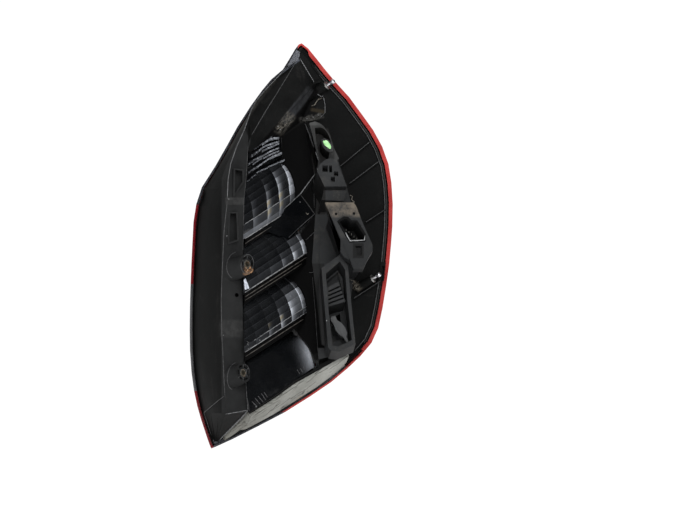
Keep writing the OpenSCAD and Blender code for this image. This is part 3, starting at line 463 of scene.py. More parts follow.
def refined(node, name, mat, angle=28, bevel=0.0, segments=2, limit=35):
    """The node's own shape with clean shading and rounded edges, standing for the node."""
    me = N[node].data.copy()
    me.name = name
    bm = bmesh.new()
    bm.from_mesh(me)
    bmesh.ops.remove_doubles(bm, verts=bm.verts, dist=0.00002)
    bmesh.ops.dissolve_degenerate(bm, dist=0.00002, edges=bm.edges)
    for layer in list(bm.loops.layers.float_vector) if hasattr(bm.loops.layers, "float_vector") else []:
        bm.loops.layers.float_vector.remove(layer)
    finish_bm(bm, me, True, angle)
    if me.attributes.get("custom_normal"):
        me.attributes.remove(me.attributes["custom_normal"])
    o = put(name, me, mat)
    if bevel:
        b = o.modifiers.new("edge", "BEVEL")
        b.width, b.segments, b.limit_method, b.angle_limit = bevel, segments, "ANGLE", math.radians(limit)
        b.use_clamp_overlap = True
        b.harden_normals = False
    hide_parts(node)
    return o


refined("housing", "housing_moulding", housing, 12)
refined("bulb_carrier", "carrier_moulding", carrier, 30, 0.0005, 2, 40)
refined("lens_red", "lens_red_shell", red, 40)
refined("lens_clear", "lens_clear_shell", clear, 40)

# ---------------------------------------------------------------- faceted bowls
A, W, F4 = Vector((-0.839, 0.545)), Vector((0.545, 0.839)), 79.0
V1, V2, V3, V4 = (287.8, 169.6, 88), (300.4, 234.9, 88), (299.5, 288.5, 88), (307.5, 345.5, 92)


def bowl_point(V, v, h, lift=0.0):
    """A point of the bowl at v across and h up from its axis, lifted by so many millimetres off its outside."""
    x = (v * v + h * h) / F4
    n = Vector((-1, 2 * v / F4, 2 * h / F4)).normalized()
    x, v, h = x + n[0] * lift / 1.04, v + n[1] * lift / 1.04, h + n[2] * lift / 1.04
    p = Vector((V[0], V[1])) + A * x + W * v
    return q(p[0], p[1], V[2] - h * 1.04)


def grid_faces(k, rows, cols):
    return [(k + i * cols + j, k + i * cols + j + 1, k + (i + 1) * cols + j + 1, k + (i + 1) * cols + j) for i in range(rows - 1) for j in range(cols - 1)]


def facets(name, V, hs, vs, keep, tiles, warm_at=(), n=6, base=0.45, soft=None, pillow=0.35, step=(0.55, 0.3)):
    """Bowl tiles, each its own cushion with steps down to the next ones.
    hs: column borders as (top, bottom); tiles: a formula that gives a tile's painted highlight from its place."""
    verts, faces, painted_highlight, warmth = [], [], [], []

    def border(i, v):
        a, b = hs[i]
        t = max(0.0, min(1.0, (v - vs[0]) / (0.65 * (vs[-1] - vs[0]))))
        return a + (b - a) * t

    for i in range(len(hs) - 1):
        for j in range(len(vs) - 1):
            v0, v1 = vs[j], vs[j + 1]
            jit = rng.uniform(-0.12, 0.12), rng.uniform(-0.12, 0.12)

            def at(s, t, drop=False):
                l = base + step[0] * s + step[1] * t + jit[0] * (s - 0.5) + jit[1] * (t - 0.5) + pillow * (1 - (2 * s - 1) ** 2) * (1 - (2 * t - 1) ** 2)
                v = v0 + (v1 - v0) * t
                return bowl_point(V, v, border(i, v) + (border(i + 1, v) - border(i, v)) * s, -0.6 if drop else l)

            # Painted highlight of the tile and of its left riser, from its place on the bowl
            f, g = tiles((border(i, v0) + border(i + 1, v0)) / 2, (j + 0.5) / (len(vs) - 1)) if soft is None else (0.01, 0.01)
            k = len(verts)
            for a in range(n + 1):
                for b in range(n + 1):
                    s_, t_ = a / n, b / n
                    verts.append(at(s_, t_))
                    w = max(0.0, (s_ - 0.5) / 0.5) ** 2.6 * (1 - 0.45 * t_)
                    x = f * (1.12 - 0.3 * t_) + (g - f) * w + 0.022 * (1 - t_) * (0.25 + 0.75 * s_) + (0.1 * max(0.22, min(1, 2.5 * f)) if b == 0 else 0)
                    if soft is not None:
                        x = soft(border(i, v0 + (v1 - v0) * t_) * (1 - s_) + border(i + 1, v0 + (v1 - v0) * t_) * s_, v0 + (v1 - v0) * t_)
                    painted_highlight.append(max(0.0, min(1, x)))
                    warmth.append(0.0)
            faces += grid_faces(k, n + 1, n + 1)
            # Painted highlight on the left and bottom risers, and painted warm glints on the tiles listed in warm_at
            for side, val in (("left", g * 1.15 + 0.03), ("right", 0), ("top", 0), ("bottom", f * 0.8)):
                k = len(verts)
                for a in range(n + 1):
                    w = a / n
                    st = {"left": (1, w), "right": (0, w), "top": (w, 0), "bottom": (w, 1)}[side]
                    for drop in (False, True):
                        verts.append(at(*st, drop))
                        painted_highlight.append(min(1, val) if soft is None else 0)
                        warmth.append(0.85 if side == "left" and (i, j) in warm_at and 0.2 < w < 0.8 else 0.0)
                faces += grid_faces(k, n + 1, 2)
    for (i, j) in warm_at:
        k0 = (i * (len(vs) - 1) + j) * ((n + 1) ** 2 + 8 * (n + 1))
        for a in range(n - 1, n + 1):
            for b in range(1, n // 2 + 1):
                warmth[k0 + a * (n + 1) + b] = 0.7
    me = bpy.data.meshes.new(name)
    me.from_pydata([tuple(v) for v in verts], [], faces)
    bm = bmesh.new()
    bm.from_mesh(me)
    la, lb = bm.verts.layers.float.new("painted_highlight"), bm.verts.layers.float.new("warm")
    for v, x, y in zip(bm.verts, painted_highlight, warmth):
        v[la], v[lb] = x, y
    for f in bm.faces:
        if f.normal.dot(Vector((0.5, -0.8, 0.3))) < 0:
            f.normal_flip()
    for (pa, pb) in keep:
        a, b = q(pa[0], pa[1], 0), q(pb[0], pb[1], 0)
        d = b - a
        bmesh.ops.bisect_plane(bm, geom=bm.verts[:] + bm.edges[:] + bm.faces[:], plane_co=a, plane_no=Vector((d.z, 0, -d.x)), clear_outer=True, dist=1e-6)
    finish_bm(bm, me, True, 24)
    return put(name, me, gloss)


tile_rng = random.Random(11)


def gleam(centre, top, width, reach, band, lean=0.008):
    """A painted highlight over a bowl's tiles: it fades with the height h and leans over to the lower rows t; each tile
    varies a little.
    """
    def value(h, t):
        body = top * math.exp(-((t - centre) / width) ** 2) * math.exp(-(max(0, h - 8) / reach) ** 2)
        f = 0.008 + (body + band * t ** (2.5 + h / 12)) * tile_rng.uniform(0.6, 1.3)
        edge = math.exp(-((t - centre - lean * (h - 10)) / (0.95 * width)) ** 2) * math.exp(-(max(0, h - 16) / 34) ** 2) * tile_rng.uniform(0.8, 1.4)
        return min(1, f), min(1, max(f, edge))
    return value


facets("bowl_1_facets", V1, [(3, 3), (13, 22), (33, 38), (46, 50.6), (60.4, 62.5), (74, 74)], [-12.6, -5.7, 0.6, 7.1, 14.6, 22.1, 30, 34],
       [((245, 190), (243.6, 236)), ((249, 151), (245, 190))], gleam(0.45, 1.0, 0.3, 11, 0.3), ((1, 4), (2, 4), (2, 5), (1, 5)))
facets("bowl_2_facets", V2, [(2.5, 2.5), (18, 18.5), (34.5, 34.8), (46.8, 47.2), (57.5, 57.8), (67.2, 67.2), (78, 78)], [-26.5, -20, -14, -8, -2, 4.8, 10.5, 17.4],
       [((243.7, 200), (243.6, 320))], gleam(0.84, 0.6, 0.22, 16, 0.1))
facets("bowl_3_facets", V3, [(2, 2), (17, 19), (32.7, 37), (43.6, 48.6), (55.4, 59), (66.8, 68.7), (78, 78)], [-24, -16.5, -9.4, -2.2, 5.3, 11.8, 18.4, 23.2],
       [((243.6, 200), (244.3, 330))], gleam(0.62, 0.7, 0.22, 20, 0.06), ((2, 5), (3, 5)))


# Painted highlight streak on the smooth lowest bowl, strongest at its right end
def streak(h, v):
    a = max(0, min(1, (44 - h) / 30))
    b = max(0, min(1, (v + 14) / 20)) * max(0, min(1, (32 - v) / 10))
    return 0.004 + 1.0 * a ** 2.6 * b


facets("bowl_4_facets", V4, [(2, 2), (18, 18), (33, 33), (45.8, 45.8), (57, 57), (67.5, 67.5), (78, 78)], [-20 + 8.33 * i for i in range(7)],
       [((244.4, 330), (248.5, 409)), ((250, 411.5), (300, 376.8))], [], soft=streak, pillow=0.1, step=(0.05, 0.03))


# ---------------------------------------------------------------- beads, ribs and edges
def tube(name, pts, r, mat, sides=6, flat=1.0, join=None):
    """A closed bead along a chain of points, r millimetres thick each way, flat times as deep."""
    pts = [p if isinstance(p, Vector) else q(*p) for p in pts]
    verts, faces = [], []
    r *= 0.001
    for i, p in enumerate(pts):
        t = (pts[min(i + 1, len(pts) - 1)] - pts[max(i - 1, 0)]).normalized()
        a = t.cross(Vector((0, 1, 0))).normalized()
        b = t.cross(a).normalized()
        k = 1.0 if 0 < i < len(pts) - 1 else 0.55
        for s_ in range(sides):
            w = 2 * math.pi * s_ / sides
            verts.append(p + (a * math.cos(w) + b * math.sin(w) * flat) * r * k)
    m = len(pts)
    for i in range(m - 1):
        for s_ in range(sides):
            faces.append((i * sides + s_, i * sides + (s_ + 1) % sides, (i + 1) * sides + (s_ + 1) % sides, (i + 1) * sides + s_))
    faces.append(tuple(range(sides)))
    faces.append(tuple((m - 1) * sides + s_ for s_ in range(sides)))
    if join is not None:
        k = len(join[0])
        join[0].extend(verts)
        join[1].extend(tuple(k + x for x in f) for f in faces)
        return None
    return made(name, verts, faces, mat, True, 60)


def beads(name, lines, mat):
    """Several beads in one mesh: [(radius, points), ...]."""
    store = ([], [])
    for r, pts in lines:
        tube(name, pts, r, mat, join=store)
    return made(name, store[0], store[1], mat, True, 60)


def wander(pts, steps, amp):
    """The chain with more points on it, each a little off its line."""
    out = []
    for (a, b) in zip(pts, pts[1:]):
        for k in range(steps):
            t = k / steps
            out.append(tuple(a[i] + (b[i] - a[i]) * t + (rng.uniform(-amp, amp) if k else 0) * (1 if i < 2 else 0.3) for i in range(3)))
    return out + [pts[-1]]


ridge = [(256, 101, 50.6), (251.4, 110, 41.6), (248, 120, 34.6), (244.5, 130, 27.6), (237, 146.5, 18.6), (231, 164, 11.7), (228.5, 179, 7.7), (228, 189, 5.7), (227.5, 199, 4.8)]
ridge2 = [(227.4, 201, 4.8), (227, 207, 4.8), (224.5, 230, 4.8), (223.5, 250, 4.8), (222.5, 272, 4.8), (221.5, 301, 4.8), (222, 330, 4.8), (223.5, 360, 4.8), (224.5, 382, 4.8), (225.3, 397, 4.9)]
# The ridge beads are light lines along the ridges: painted highlight where the edges catch the light
beads("ridge_edge", [(0.42, ridge), (0.4, [(298, 60, 77), (286.5, 67.8, 80.5), (275.2, 79.5, 74.6), (264.4, 91, 64.6), (256, 101, 50.6)])], wear_and_highlight)
beads("ridge_edge_lower", [(0.42, ridge2), (0.35, [(224, 396, 5), (217, 401.5, 22), (204, 412.5, 60), (208, 425, 72), (212, 437.5, 84)]), (0.3, [(248.3, 146.5, 25.6), (247.2, 164, 21.4), (246.2, 179, 18.2), (244.2, 199, 14.8), (243.5, 230, 16.2), (243.2, 250, 16.6)])], faint)
beads("flange_corner_edge", [(0.55, [(246.2, 382, 17.6), (247.2, 397, 17.8), (248.2, 410, 19.4)]), (0.4, wander([(226, 413.6, 6.4), (237, 411.8, 13), (248.2, 409.8, 19.2)], 4, 0.12)), (0.7, [(248.2, 410, 19.4), (241, 418, 35), (233, 426, 51.6), (225, 434.2, 68.6), (217.8, 441.8, 84.4)])], wear_and_highlight)
beads("top_panel_edges", [(0.5, [(300, 58.5, 77.4), (304, 65.2, 76.4), (309, 73.6, 76.2), (313.6, 81, 76.6), (314.2, 83.4, 76.6), (312.4, 85.4, 75.8)])], wear_and_highlight)
beads("top_panel_fold", [(0.4, [(296.4, 61, 77.2), (287, 77, 65.6), (276, 95, 53.6), (266, 111, 41.6), (259, 123, 32.6), (252, 135, 27.6)])], faint)

side = [(301.6, 43.2), (308.2, 48.4), (316.4, 58.5), (325.5, 70), (335.5, 82), (349.2, 97), (362.8, 115.5), (373.2, 130), (382.2, 146.5), (388.5, 164), (391.5, 183), (392.8, 204), (392.4, 226),
        (391.3, 242), (389.3, 264), (386.2, 286), (382.6, 308), (378.3, 328), (371.5, 343), (360.6, 356), (347.6, 368.3), (331, 382.3), (309.6, 396.8), (285, 412.2), (257, 426.8), (232, 439.4), (215.5, 446.9)]


def inset(pts, d, depth, a=0, b=None):
    out = []
    for i in range(a, len(pts) if b is None else b):
        p0, p1 = Vector(pts[max(i - 1, 0)]), Vector(pts[min(i + 1, len(pts) - 1)])
        t = (p1 - p0).normalized()
        out.append((pts[i][0] - t[1] * d, pts[i][1] + t[0] * d, depth))
    return out


beads("rim_lip", [(0.6, inset(side, 7.85, 75.5, 3, 20))], faint)
beads("panel_rib_tops", [(0.5, [(340.5, 166, 73), (369.5, 142, 73)]), (0.5, [(349.5, 183.4, 73), (378.5, 161.5, 73)]), (0.5, [(366, 222, 73), (385, 209.5, 73)]), (0.5, [(354, 298.2, 73), (380.5, 281, 73)])], faint)
beads("recess_edges", [(0.5, [(319, 168.5, 76), (310, 180.8, 74), (300.5, 193.7, 71), (288.5, 205, 58.5), (272, 218.5, 42), (257.5, 230, 27.5), (246, 238, 20)]),
                       (0.4, [(305, 123.5, 77.6), (308, 131, 65.6), (312, 142, 59.6), (315, 150, 54), (318.4, 160.5, 44.6)])], wear_and_highlight)
beads("cover_plate_edges", [(0.4, [(300.5, 194.6, 71.4), (308, 204.6, 75.2), (314.6, 214, 78.8), (301, 226, 61.2), (288.7, 237.6, 49.4)]), (0.3, [(313.2, 176, 77.6), (314, 190, 77.6), (314.2, 208, 77.6)]), (0.3, [(316.2, 178, 77.6), (317, 192, 77.6), (316.6, 207, 77.6)]),
                            (0.3, [(312.5, 277, 77.6), (315.5, 315, 77.6), (318.2, 356, 77.6)]), (0.3, [(309, 272.5, 77.4), (312.5, 272.5, 77.4), (324, 261, 77.4)]), (0.3, [(306, 240, 77.4), (316, 230.5, 77.4), (323, 224, 77.4)])], faint)


def along(V, v, h0, h1, lift, n=10):
    return [bowl_point(V, v, h0 + (h1 - h0) * k / n, lift) for k in range(n + 1)]


beads("bowl_seams", [(0.34, along(V1, 22.2, 69, 14, 1.0)), (0.5, along(V1, 34.4, 68, 22, 0.9)), (0.6, along(V2, 17.9, 76.5, 6, 0.9)), (0.34, along(V3, 18.4, 70, 6, 1.0)), (0.45, along(V3, 23.4, 76, 3, 0.8))], seam)
beads("partition_edges", [(0.5, along(V1, 38.4, 67.4, 34, 1.0)), (0.5, along(V2, 21.6, 76.6, 14, 1.2)), (0.4, along(V2, 24.6, 76.6, 24, 0.7)), (0.5, along(V3, 27.2, 76, 20, 1.2))], brown)


def strip(name, V, va, vb, h0, h1, la, lb, mat, n=12, thick=1.6):
    """A closed band between two lines of a bowl."""
    verts, faces = [], []
    for k in range(n + 1):
        h = h0 + (h1 - h0) * k / n
        for (v, l) in ((va, la), (vb, lb), (vb, lb - thick), (va, la - thick)):
            verts.append(bowl_point(V, v, h, l))
    for k in range(n):
        for j in range(4):
            faces.append((4 * k + j, 4 * k + (j + 1) % 4, 4 * k + 4 + (j + 1) % 4, 4 * k + 4 + j))
    faces += [(0, 1, 2, 3), tuple(4 * n + j for j in (3, 2, 1, 0))]
    return made(name, verts, faces, mat, True, 30)


# Partition bands in the darker copy of the housing plastic: painted shade
strip("partition_1_band", V1, 34.4, 41.5, 67, 22, 0.7, 0.1, shaded_black)
strip("partition_2_band", V2, 18.8, 27.5, 76.4, 8, 0.7, -0.4, shaded_black)
strip("partition_3_band", V3, 23.8, 31.5, 76, 8, 0.7, -0.4, shaded_black)


# ---------------------------------------------------------------- flutes
def flute(pts, w, lift=1.4):
    """A sharp ridge: three-sided, bright on its upper face."""
    verts, faces = [], []
    for (u, v, d) in pts:
        verts += [q(u, v - w * 0.5, d - 0.4), q(u + 0.1, v + w * 0.12, d - lift), q(u, v + w * 0.5, d - lift * 0.5), q(u, v + w * 0.3, d + 1.2)]
    n = len(pts)
    for i in range(n - 1):
        for j in range(4):
            faces.append((4 * i + j, 4 * i + (j + 1) % 4, 4 * i + 4 + (j + 1) % 4, 4 * i + 4 + j))
    faces += [(0, 1, 2, 3), tuple(4 * n - 1 - j for j in range(4))]
    return verts, faces


def flute_depth(u):
    k = [(244, 27), (250, 32), (258, 40), (264, 46), (272, 55), (277, 63), (283, 76), (290, 82)]
    for (a, x), (b, y) in zip(k, k[1:]):
        if u <= b:
            return x + (y - x) * (u - a) / (b - a)
    return k[-1][1]


fl_v, fl_f = [], []
for w, pts in [(2.4, [(262, 145), (266, 142), (270, 139.5), (275, 138.4), (279, 138)]), (2.2, [(251, 157), (254.6, 154), (258, 152), (262.5, 148)]), (1.9, [(262.5, 148), (267, 145.6), (272, 144), (279, 141.5)]),
               (1.8, [(262, 151.5), (268, 148.4), (274, 146), (279, 143.5)]), (2.2, [(248, 165), (251.5, 162), (255, 160), (263, 156)]), (1.8, [(263, 156), (270, 151.6), (279, 148)]),
               (1.7, [(253, 164.5), (258, 161), (262, 158.5)]), (1.6, [(263, 158.6), (271, 154.4), (279, 151)]), (1.9, [(248, 173), (257, 167.4), (266, 161), (270, 158.2)]), (2.6, [(270, 158.6), (274, 156.5), (278, 154.8), (282, 153)]),
               (1.6, [(247.5, 181.5), (252, 177.8), (256, 174.5)]), (1.4, [(256.5, 173), (262, 170.4), (268, 168)]), (1.4, [(268, 167), (274, 164.6), (280, 162)]), (2.0, [(280, 162), (284.5, 160)]),
               (1.2, [(283, 124.5), (277, 129.6), (270, 135)]), (1.3, [(284, 128), (277, 133), (270.5, 137.4)]), (1.2, [(254, 149.5), (259, 146), (263, 143)])]:
    fine = []
    for (a, b) in zip(pts, pts[1:]):
        for k in range(6):
            t = k / 6
            u, v = a[0] + (b[0] - a[0]) * t, a[1] + (b[1] - a[1]) * t
            fine.append((u, v + (0.3 if k % 2 else -0.3) * rng.uniform(0.3, 1.2), flute_depth(u) - 1.2 - (1.2 if v > 166 else 0)))
    fine.append((pts[-1][0], pts[-1][1], flute_depth(pts[-1][0]) - 1.2))
    v_, f_ = flute(fine, w)
    k = len(fl_v)
    fl_v += v_
    fl_f += [tuple(k + x for x in f) for f in f_]
fl_o = made("flute_ridges", fl_v, fl_f, gloss, True, 25)
# Painted highlight on the flute ridges, lighter to the right, with random bright spots
fl_a = fl_o.data.attributes.new("painted_highlight", "FLOAT", "POINT")
for i, v in enumerate(fl_o.data.vertices):
    fl_a.data[i].value = 0.05 + 0.3 * max(0, min(1, (v.co.x - 0.004) / 0.03)) + 0.5 * rng.random() ** 3

# ---------------------------------------------------------------- painted shade: dark plates over the panel where it lies in shadow
def plate(name, poly, d0, d1, mat):
    """A flat closed plate between two depths."""
    n = len(poly)
    verts = [q(u, v, d0) for u, v in poly] + [q(u, v, d1) for u, v in poly]
    faces = [tuple(range(n)), tuple(2 * n - 1 - k for k in range(n))] + [(k, (k + 1) % n, n + (k + 1) % n, n + k) for k in range(n)]
    return made(name, verts, faces, mat, False)


def rim_of(V, v0, v1, n=8, du=0.4):
    out = []
    for k in range(n + 1):
        v = v0 + (v1 - v0) * k / n
        p = Vector((V[0], V[1])) + A * (v * v / F4) + W * v
        out.append((p[0] + du, p[1]))
    return out


plate("recess_floor_upper_shade", [(282.3, 137), (304.5, 121.8), (319, 161), (318.5, 171), (302.5, 193.5)] + rim_of(V1, 27, -9) + [(282.3, 150)], 77.7, 77.95, shaded_black)
plate("recess_wall_lower_shade", [(303, 195), (315.5, 214), (302.5, 231.5)] + rim_of(V2, 0, 18) + [(300.5, 263)] + rim_of(V3, -20, 22) + [(305.5, 318), (297, 329)] + rim_of(V4, -14, 10) +
      [(320, 352), (321.3, 345), (317.4, 300), (312.5, 262), (316.4, 205), (319, 172)], 77.7, 77.95, shaded_black)

# ---------------------------------------------------------------- small marks laid on the surfaces
look_at = bpy.context.evaluated_depsgraph_get()


def depth_at(u, v):
    hit, loc, *rest = scene.ray_cast(look_at, q(u, v, -40), Vector((0, 1, 0)))
    return loc.y * 1000 if hit else None


def laid(pts, lift=0.2, step=1.2, jump=6.0):
    """The chain of points laid on whatever surface the camera sees there."""
    out = []
    for (a, b) in zip(pts, pts[1:]):
        n = max(1, round(math.hypot(b[0] - a[0], b[1] - a[1]) / step))
        out += [(a[0] + (b[0] - a[0]) * k / n, a[1] + (b[1] - a[1]) * k / n) for k in range(n)]
    out.append(pts[-1])
    res, last = [], None
    for u, v in out:
        d = depth_at(u, v)
        if d is None or (last is not None and abs(d - last) > jump):
            d = last
        if d is None:
            continue
        last = d
        res.append((u, v, d - lift))
    return res


def blobs(name, spots, mat, flat=0.6):
    """Small rounded grains sitting half in the surface: (u, v, radius in millimetres)."""
    verts, faces = [], []
    for (u, v, r) in spots:
        d = depth_at(u, v)
        if d is None:
            continue
        c, k, r = q(u, v, d), len(verts), r * 0.001
        a, b = 5, 8
        for i in range(a + 1):
            t = math.pi * i / a
            for j in range(b):
                w = 2 * math.pi * j / b
                x = 1 + 0.12 * math.sin(3 * w + u)
                verts.append(c + Vector((math.sin(t) * math.cos(w) * x, -math.cos(t) * flat, math.sin(t) * math.sin(w) * x)) * r)
        for i in range(a):
            for j in range(b):
                faces.append((k + i * b + j, k + i * b + (j + 1) % b, k + (i + 1) * b + (j + 1) % b, k + (i + 1) * b + j))
    o = made(name, verts, faces, mat, True, 60)
    return o


def dab(name, u, v, a, b, turn, high, mat, n=20):
    """A flat rounded drop of paint, a by b steps long, turned by so many degrees clockwise."""
    d = min(x for x in (depth_at(u + i, v + i) for i in (-1, 0, 1)) if x is not None)
    verts, faces = [], []
    c, s_ = math.cos(math.radians(turn)), math.sin(math.radians(turn))
    rings = ((1.0, 0.4), (1.0, 0.0), (0.86, -0.6), (0.55, -0.92), (0.2, -1.0))
    for (r, h) in rings:
        for k in range(n):
            w = 2 * math.pi * k / n
            e = r * (1 + 0.07 * math.sin(3 * w + 1) + 0.05 * math.sin(5 * w))
            x, y = a / 2 * e * math.cos(w), b / 2 * e * math.sin(w)
            verts.append(q(u + x * c - y * s_, v + x * s_ + y * c, d + h * high))
    for i in range(len(rings) - 1):
        for k in range(n):
            faces.append((i * n + k, i * n + (k + 1) % n, (i + 1) * n + (k + 1) % n, (i + 1) * n + k))
    faces += [tuple(range(n)), tuple(len(rings) * n - 1 - k for k in range(n))]
    return made(name, verts, faces, mat, True, 50)


dab("paint_dab", 327.2, 144.4, 10.6, 5, 48, 0.6, green)
beads("dirt_worms", [(0.55, laid([(322, 98), (318, 99.5), (316.5, 102), (314.5, 105), (311.5, 106)], 0.1)), (0.4, laid([(350, 195), (352.5, 196.5), (351.5, 199.5), (354, 201.5), (353.5, 205), (357, 208)], 0.1)),
                     (0.4, laid([(350, 279.5), (354, 281), (352, 284), (357, 285.5), (355, 288), (359, 289.5)], 0.1)), (0.4, laid([(352.5, 289), (355.5, 284.5), (358.5, 281.5)], 0.1)),
                     (0.45, laid([(277, 129.5), (280.5, 126.5), (283, 127.8), (286.5, 123.5), (291.5, 122.2)], 0.1)), (0.35, laid([(305.8, 212.5), (307.5, 214.5), (309, 213)], 0.1))], dirt)
blobs("light_grains", [(229, 199, 0.7), (227, 236, 0.6), (223.5, 335, 0.55), (278, 126.5, 0.75), (280, 129.5, 0.6), (300, 202, 0.6), (260, 340, 0.6), (248.5, 348.5, 0.5), (256.3, 406.3, 0.7), (317.5, 169, 0.8), (216, 442, 0.9), (326.5, 320.5, 0.7),
                       (246.5, 288.5, 0.7), (290, 120.5, 0.45), (307, 118.5, 0.4), (313, 117, 0.45), (318, 115, 0.4)], seam)
beads("connector_lip", [(0.7, [(345.7, 232.6, 20), (347.6, 236.6, 20), (350.2, 240.7, 20), (357, 240.5, 20), (364.4, 240.1, 20), (365, 235.4, 20)])], seam)
beads("shelf_edges", [(0.4, laid([(323.5, 97.5), (325, 104), (325, 112.5), (320.5, 117.5)], 0.1)), (0.4, laid([(317.5, 94), (320.8, 96.4), (323.3, 96)], 0.1))], wear_and_highlight)
def wander_flat(pts, steps, amp):
    return [(x[0], x[1]) for x in wander([(a, b, 0) for a, b in pts], steps, amp)]


def oval(u, v, a, b, turn, w0=0, w1=360, n=22):
    c, s_ = math.cos(math.radians(turn)), math.sin(math.radians(turn))
    out = []
    for k in range(n + 1):
        w = math.radians(w0 + (w1 - w0) * k / n)
        x, y = a * math.cos(w), b * math.sin(w)
        out.append((u + x * c - y * s_, v + x * s_ + y * c))
    return out


def spoke(u, v, a, b, turn, w, r0=0.5):
    o, i = oval(u, v, a, b, turn, w, w, 1)[0], oval(u, v, a * r0, b * r0, turn, w, w, 1)[0]
    return [i, o]


beads("boss_end_rings", [(0.4, laid(oval(247.5, 264, 6.1, 9.5, 8), 0.1, 3)), (0.35, laid(oval(247.5, 264, 3.2, 4.9, 8), 0.1, 3)), (0.4, laid(oval(243.5, 372.5, 5.7, 8.6, 8), 0.1, 3)), (0.35, laid(oval(243.5, 372.5, 3, 4.4, 8), 0.1, 3))] +
      [(0.3, laid(spoke(247.5, 264, 6.1, 9.5, 8, w), 0.1)) for w in range(20, 380, 60)] + [(0.3, laid(spoke(243.5, 372.5, 5.7, 8.6, 8, w), 0.1)) for w in range(20, 380, 60)] +
      [(0.35, laid(oval(235, 376, 7.2, 13.5, 8, 95, 265), 0.1, 3)), (0.35, laid(oval(238, 265.5, 11, 14, 8, 110, 250), 0.1, 3))], faint)
band_o, band_i = inset(side, 2.3, 82.7, 20, 27), inset(side, 7.2, 82.7, 20, 27)
band_poly = [(x[0], x[1]) for x in band_o] + [(x[0], x[1]) for x in reversed(band_i)]
plate("bottom_rim_band", band_poly, 82.6, 83.7, knurl)
quad = [(245.8, 278), (249.6, 288.4), (245.2, 289.6), (243.9, 280)]
near_d = min(x for x in (depth_at(*c) for c in quad) if x is not None)
plate("bright_patch_under_boss", quad, near_d - 0.5, near_d + 1.2, light_patch)
tip = [(296.3, 49.6), (300, 52), (299.5, 56), (298, 60), (292, 64), (287.4, 66)]
near_t = min(x for x in (depth_at(*c) for c in tip + [(296, 56)]) if x is not None)
plate("knurled_tip_patch", tip, max(near_t - 0.4, 72), max(near_t - 0.4, 72) + 1.2, pad)
# Painted shade in the rim groove: a dark bead along it
beads("rim_groove", [(0.75, [(u, v, min(d, 84.5)) for (u, v, d) in laid([(x[0], x[1]) for x in inset(side, 4.6, 0, 2, 21)], 0.2, 4)])], shaded_black)
# Painted shade in the foam's creases: thin dark beads along them
beads("foam_creases", [(0.22, laid(wander_flat(l, 3, 0.5), 0.02, 1.2, 3)) for l in ([(238, 431), (250, 422), (262, 415.5)], [(252, 417.5), (268, 406.5), (280, 400)], [(262, 417), (274, 409), (290, 398)], [(276, 399.5), (292, 388.5), (304, 380.5)],
                                                                            [(290, 399), (302, 391.5), (316, 381.5)], [(306, 383), (318, 373.5), (328, 368)], [(330, 369), (340, 362), (348, 356)], [(232, 431.5), (242, 424), (250, 417.5)], [(246, 425), (256, 417)], [(270, 411), (281, 402.5)])], brown)
blobs("foam_glint", [(301.2, 395, 0.7), (296, 397.5, 0.45), (262.5, 411, 0.4)], seam)
beads("comb_fins", [(0.45, laid([a, b], 0.1)) for a, b in (((252, 401), (257, 406)), ((255, 397.5), (260.5, 404)), ((258, 395.5), (263.5, 402)), ((261.5, 393), (266, 400)), ((264, 391.5), (267.5, 397)),
                                                          ((297, 369.5), (300, 374)), ((300, 368), (303, 372.6)), ((303, 367), (305.6, 371)))], faint)
beads("scratch_marks", [(0.25, laid([(247, 341), (249, 342.5), (247.2, 343.8), (249, 345)], 0.05, 0.7))], wear_and_highlight)

# ---------------------------------------------------------------- camera, floor, light
cam = bpy.data.cameras.new("camera")
cam_o = bpy.data.objects.new("camera", cam)
scene.collection.objects.link(cam_o)
cam.sensor_width = 36
far = 24.0
cam.lens = 36 * far / (675 * S)
cam.clip_start, cam.clip_end = 0.1, 100
cam_o.location = q(337.5, 253, 0) + Vector((0, 0.07 - far, 0))
cam_o.rotation_euler = (math.radians(90), 0, 0)
scene.camera = cam_o
scene.view_settings.view_transform = "Standard"
scene.view_settings.look = "None"

floor_me = bpy.data.meshes.new("floor")
bm = bmesh.new()
bmesh.ops.create_grid(bm, x_segments=2, y_segments=2, size=3.0)
bm.to_mesh(floor_me)
bm.free()
floor = bpy.data.objects.new("floor", floor_me)
floor.location = (0.05, 0.3, cad_lo.z - 0.03)
scene.collection.objects.link(floor)
fm = Mat("floor_pale", Roughness=0.9, Specular_IOR_Level=0.1, Emission_Strength=0.75)
fm.p.inputs["Emission Color"].default_value = (1, 1, 1, 1)
fm.colour(fm.mix(fm.noise(3, 2, 0.5), (0.86, 0.86, 0.86), (0.9, 0.9, 0.9)))
floor_me.materials.append(fm.m)

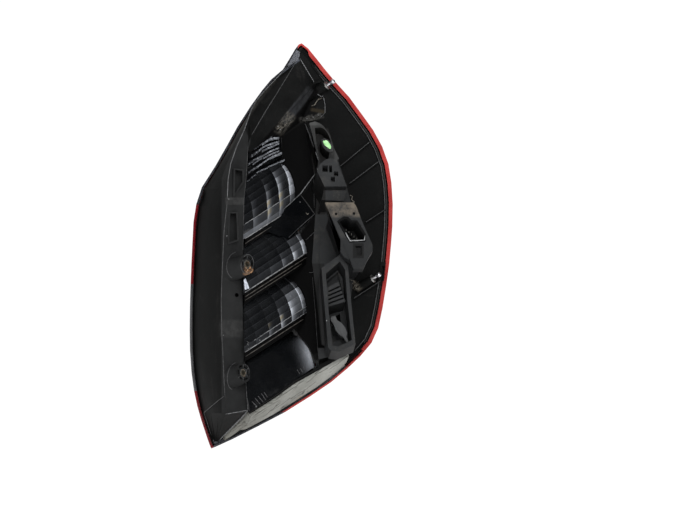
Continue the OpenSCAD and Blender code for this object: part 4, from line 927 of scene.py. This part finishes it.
world = bpy.data.worlds.new("studio")
scene.world = world
world.use_nodes = True
wt = world.node_tree
wt.nodes.clear()
wo = wt.nodes.new("ShaderNodeOutputWorld")
lp = wt.nodes.new("ShaderNodeLightPath")
tc = wt.nodes.new("ShaderNodeTexCoord")
rp = wt.nodes.new("ShaderNodeValToRGB")
mr = wt.nodes.new("ShaderNodeMapRange")
b1, b2, mx = wt.nodes.new("ShaderNodeBackground"), wt.nodes.new("ShaderNodeBackground"), wt.nodes.new("ShaderNodeMixShader")
dp = wt.nodes.new("ShaderNodeVectorMath")
dp.operation = "DOT_PRODUCT"
dp.inputs[1].default_value = Vector((-0.35, 0.5, 0.8)).normalized()
wt.links.new(tc.outputs["Generated"], dp.inputs[0])
wt.links.new(dp.outputs["Value"], mr.inputs["Value"])
mr.inputs["From Min"].default_value, mr.inputs["From Max"].default_value = -1, 1
wt.links.new(mr.outputs[0], rp.inputs[0])
cr = rp.color_ramp
for e, (p, v) in zip([cr.elements[0], cr.elements[1]] + [cr.elements.new(0.5), cr.elements.new(0.5)], ((0.0, 0.02), (1.0, 0.35), (0.5, 0.05), (0.78, 0.12))):
    e.position = p
    e.color = (v * 0.98, v * 0.99, v, 1)
wt.links.new(rp.outputs[0], b1.inputs["Color"])
b2.inputs["Color"].default_value = (1, 1, 1, 1)
b2.inputs["Strength"].default_value = 1.05
wt.links.new(lp.outputs["Is Camera Ray"], mx.inputs[0])
wt.links.new(b1.outputs[0], mx.inputs[1])
wt.links.new(b2.outputs[0], mx.inputs[2])
wt.links.new(mx.outputs[0], wo.inputs["Surface"])


def area(name, where, size, power, colour=(1, 1, 1)):
    l = bpy.data.lights.new(name, "AREA")
    l.shape, l.size, l.size_y = "RECTANGLE", size[0], size[1]
    l.energy, l.color = power, colour
    o = bpy.data.objects.new(name, l)
    scene.collection.objects.link(o)
    o.location = where
    o.rotation_euler = (Vector((0.05, 0.05, 0)) - Vector(where)).to_track_quat("-Z", "Y").to_euler()
    o.visible_camera = False
    return o


area("soft_key", (0.5, -2.65, 1.3), (1.5, 1.5), 76)
area("soft_fill", (-1.3, -2.2, 1.4), (1.2, 1.2), 14)
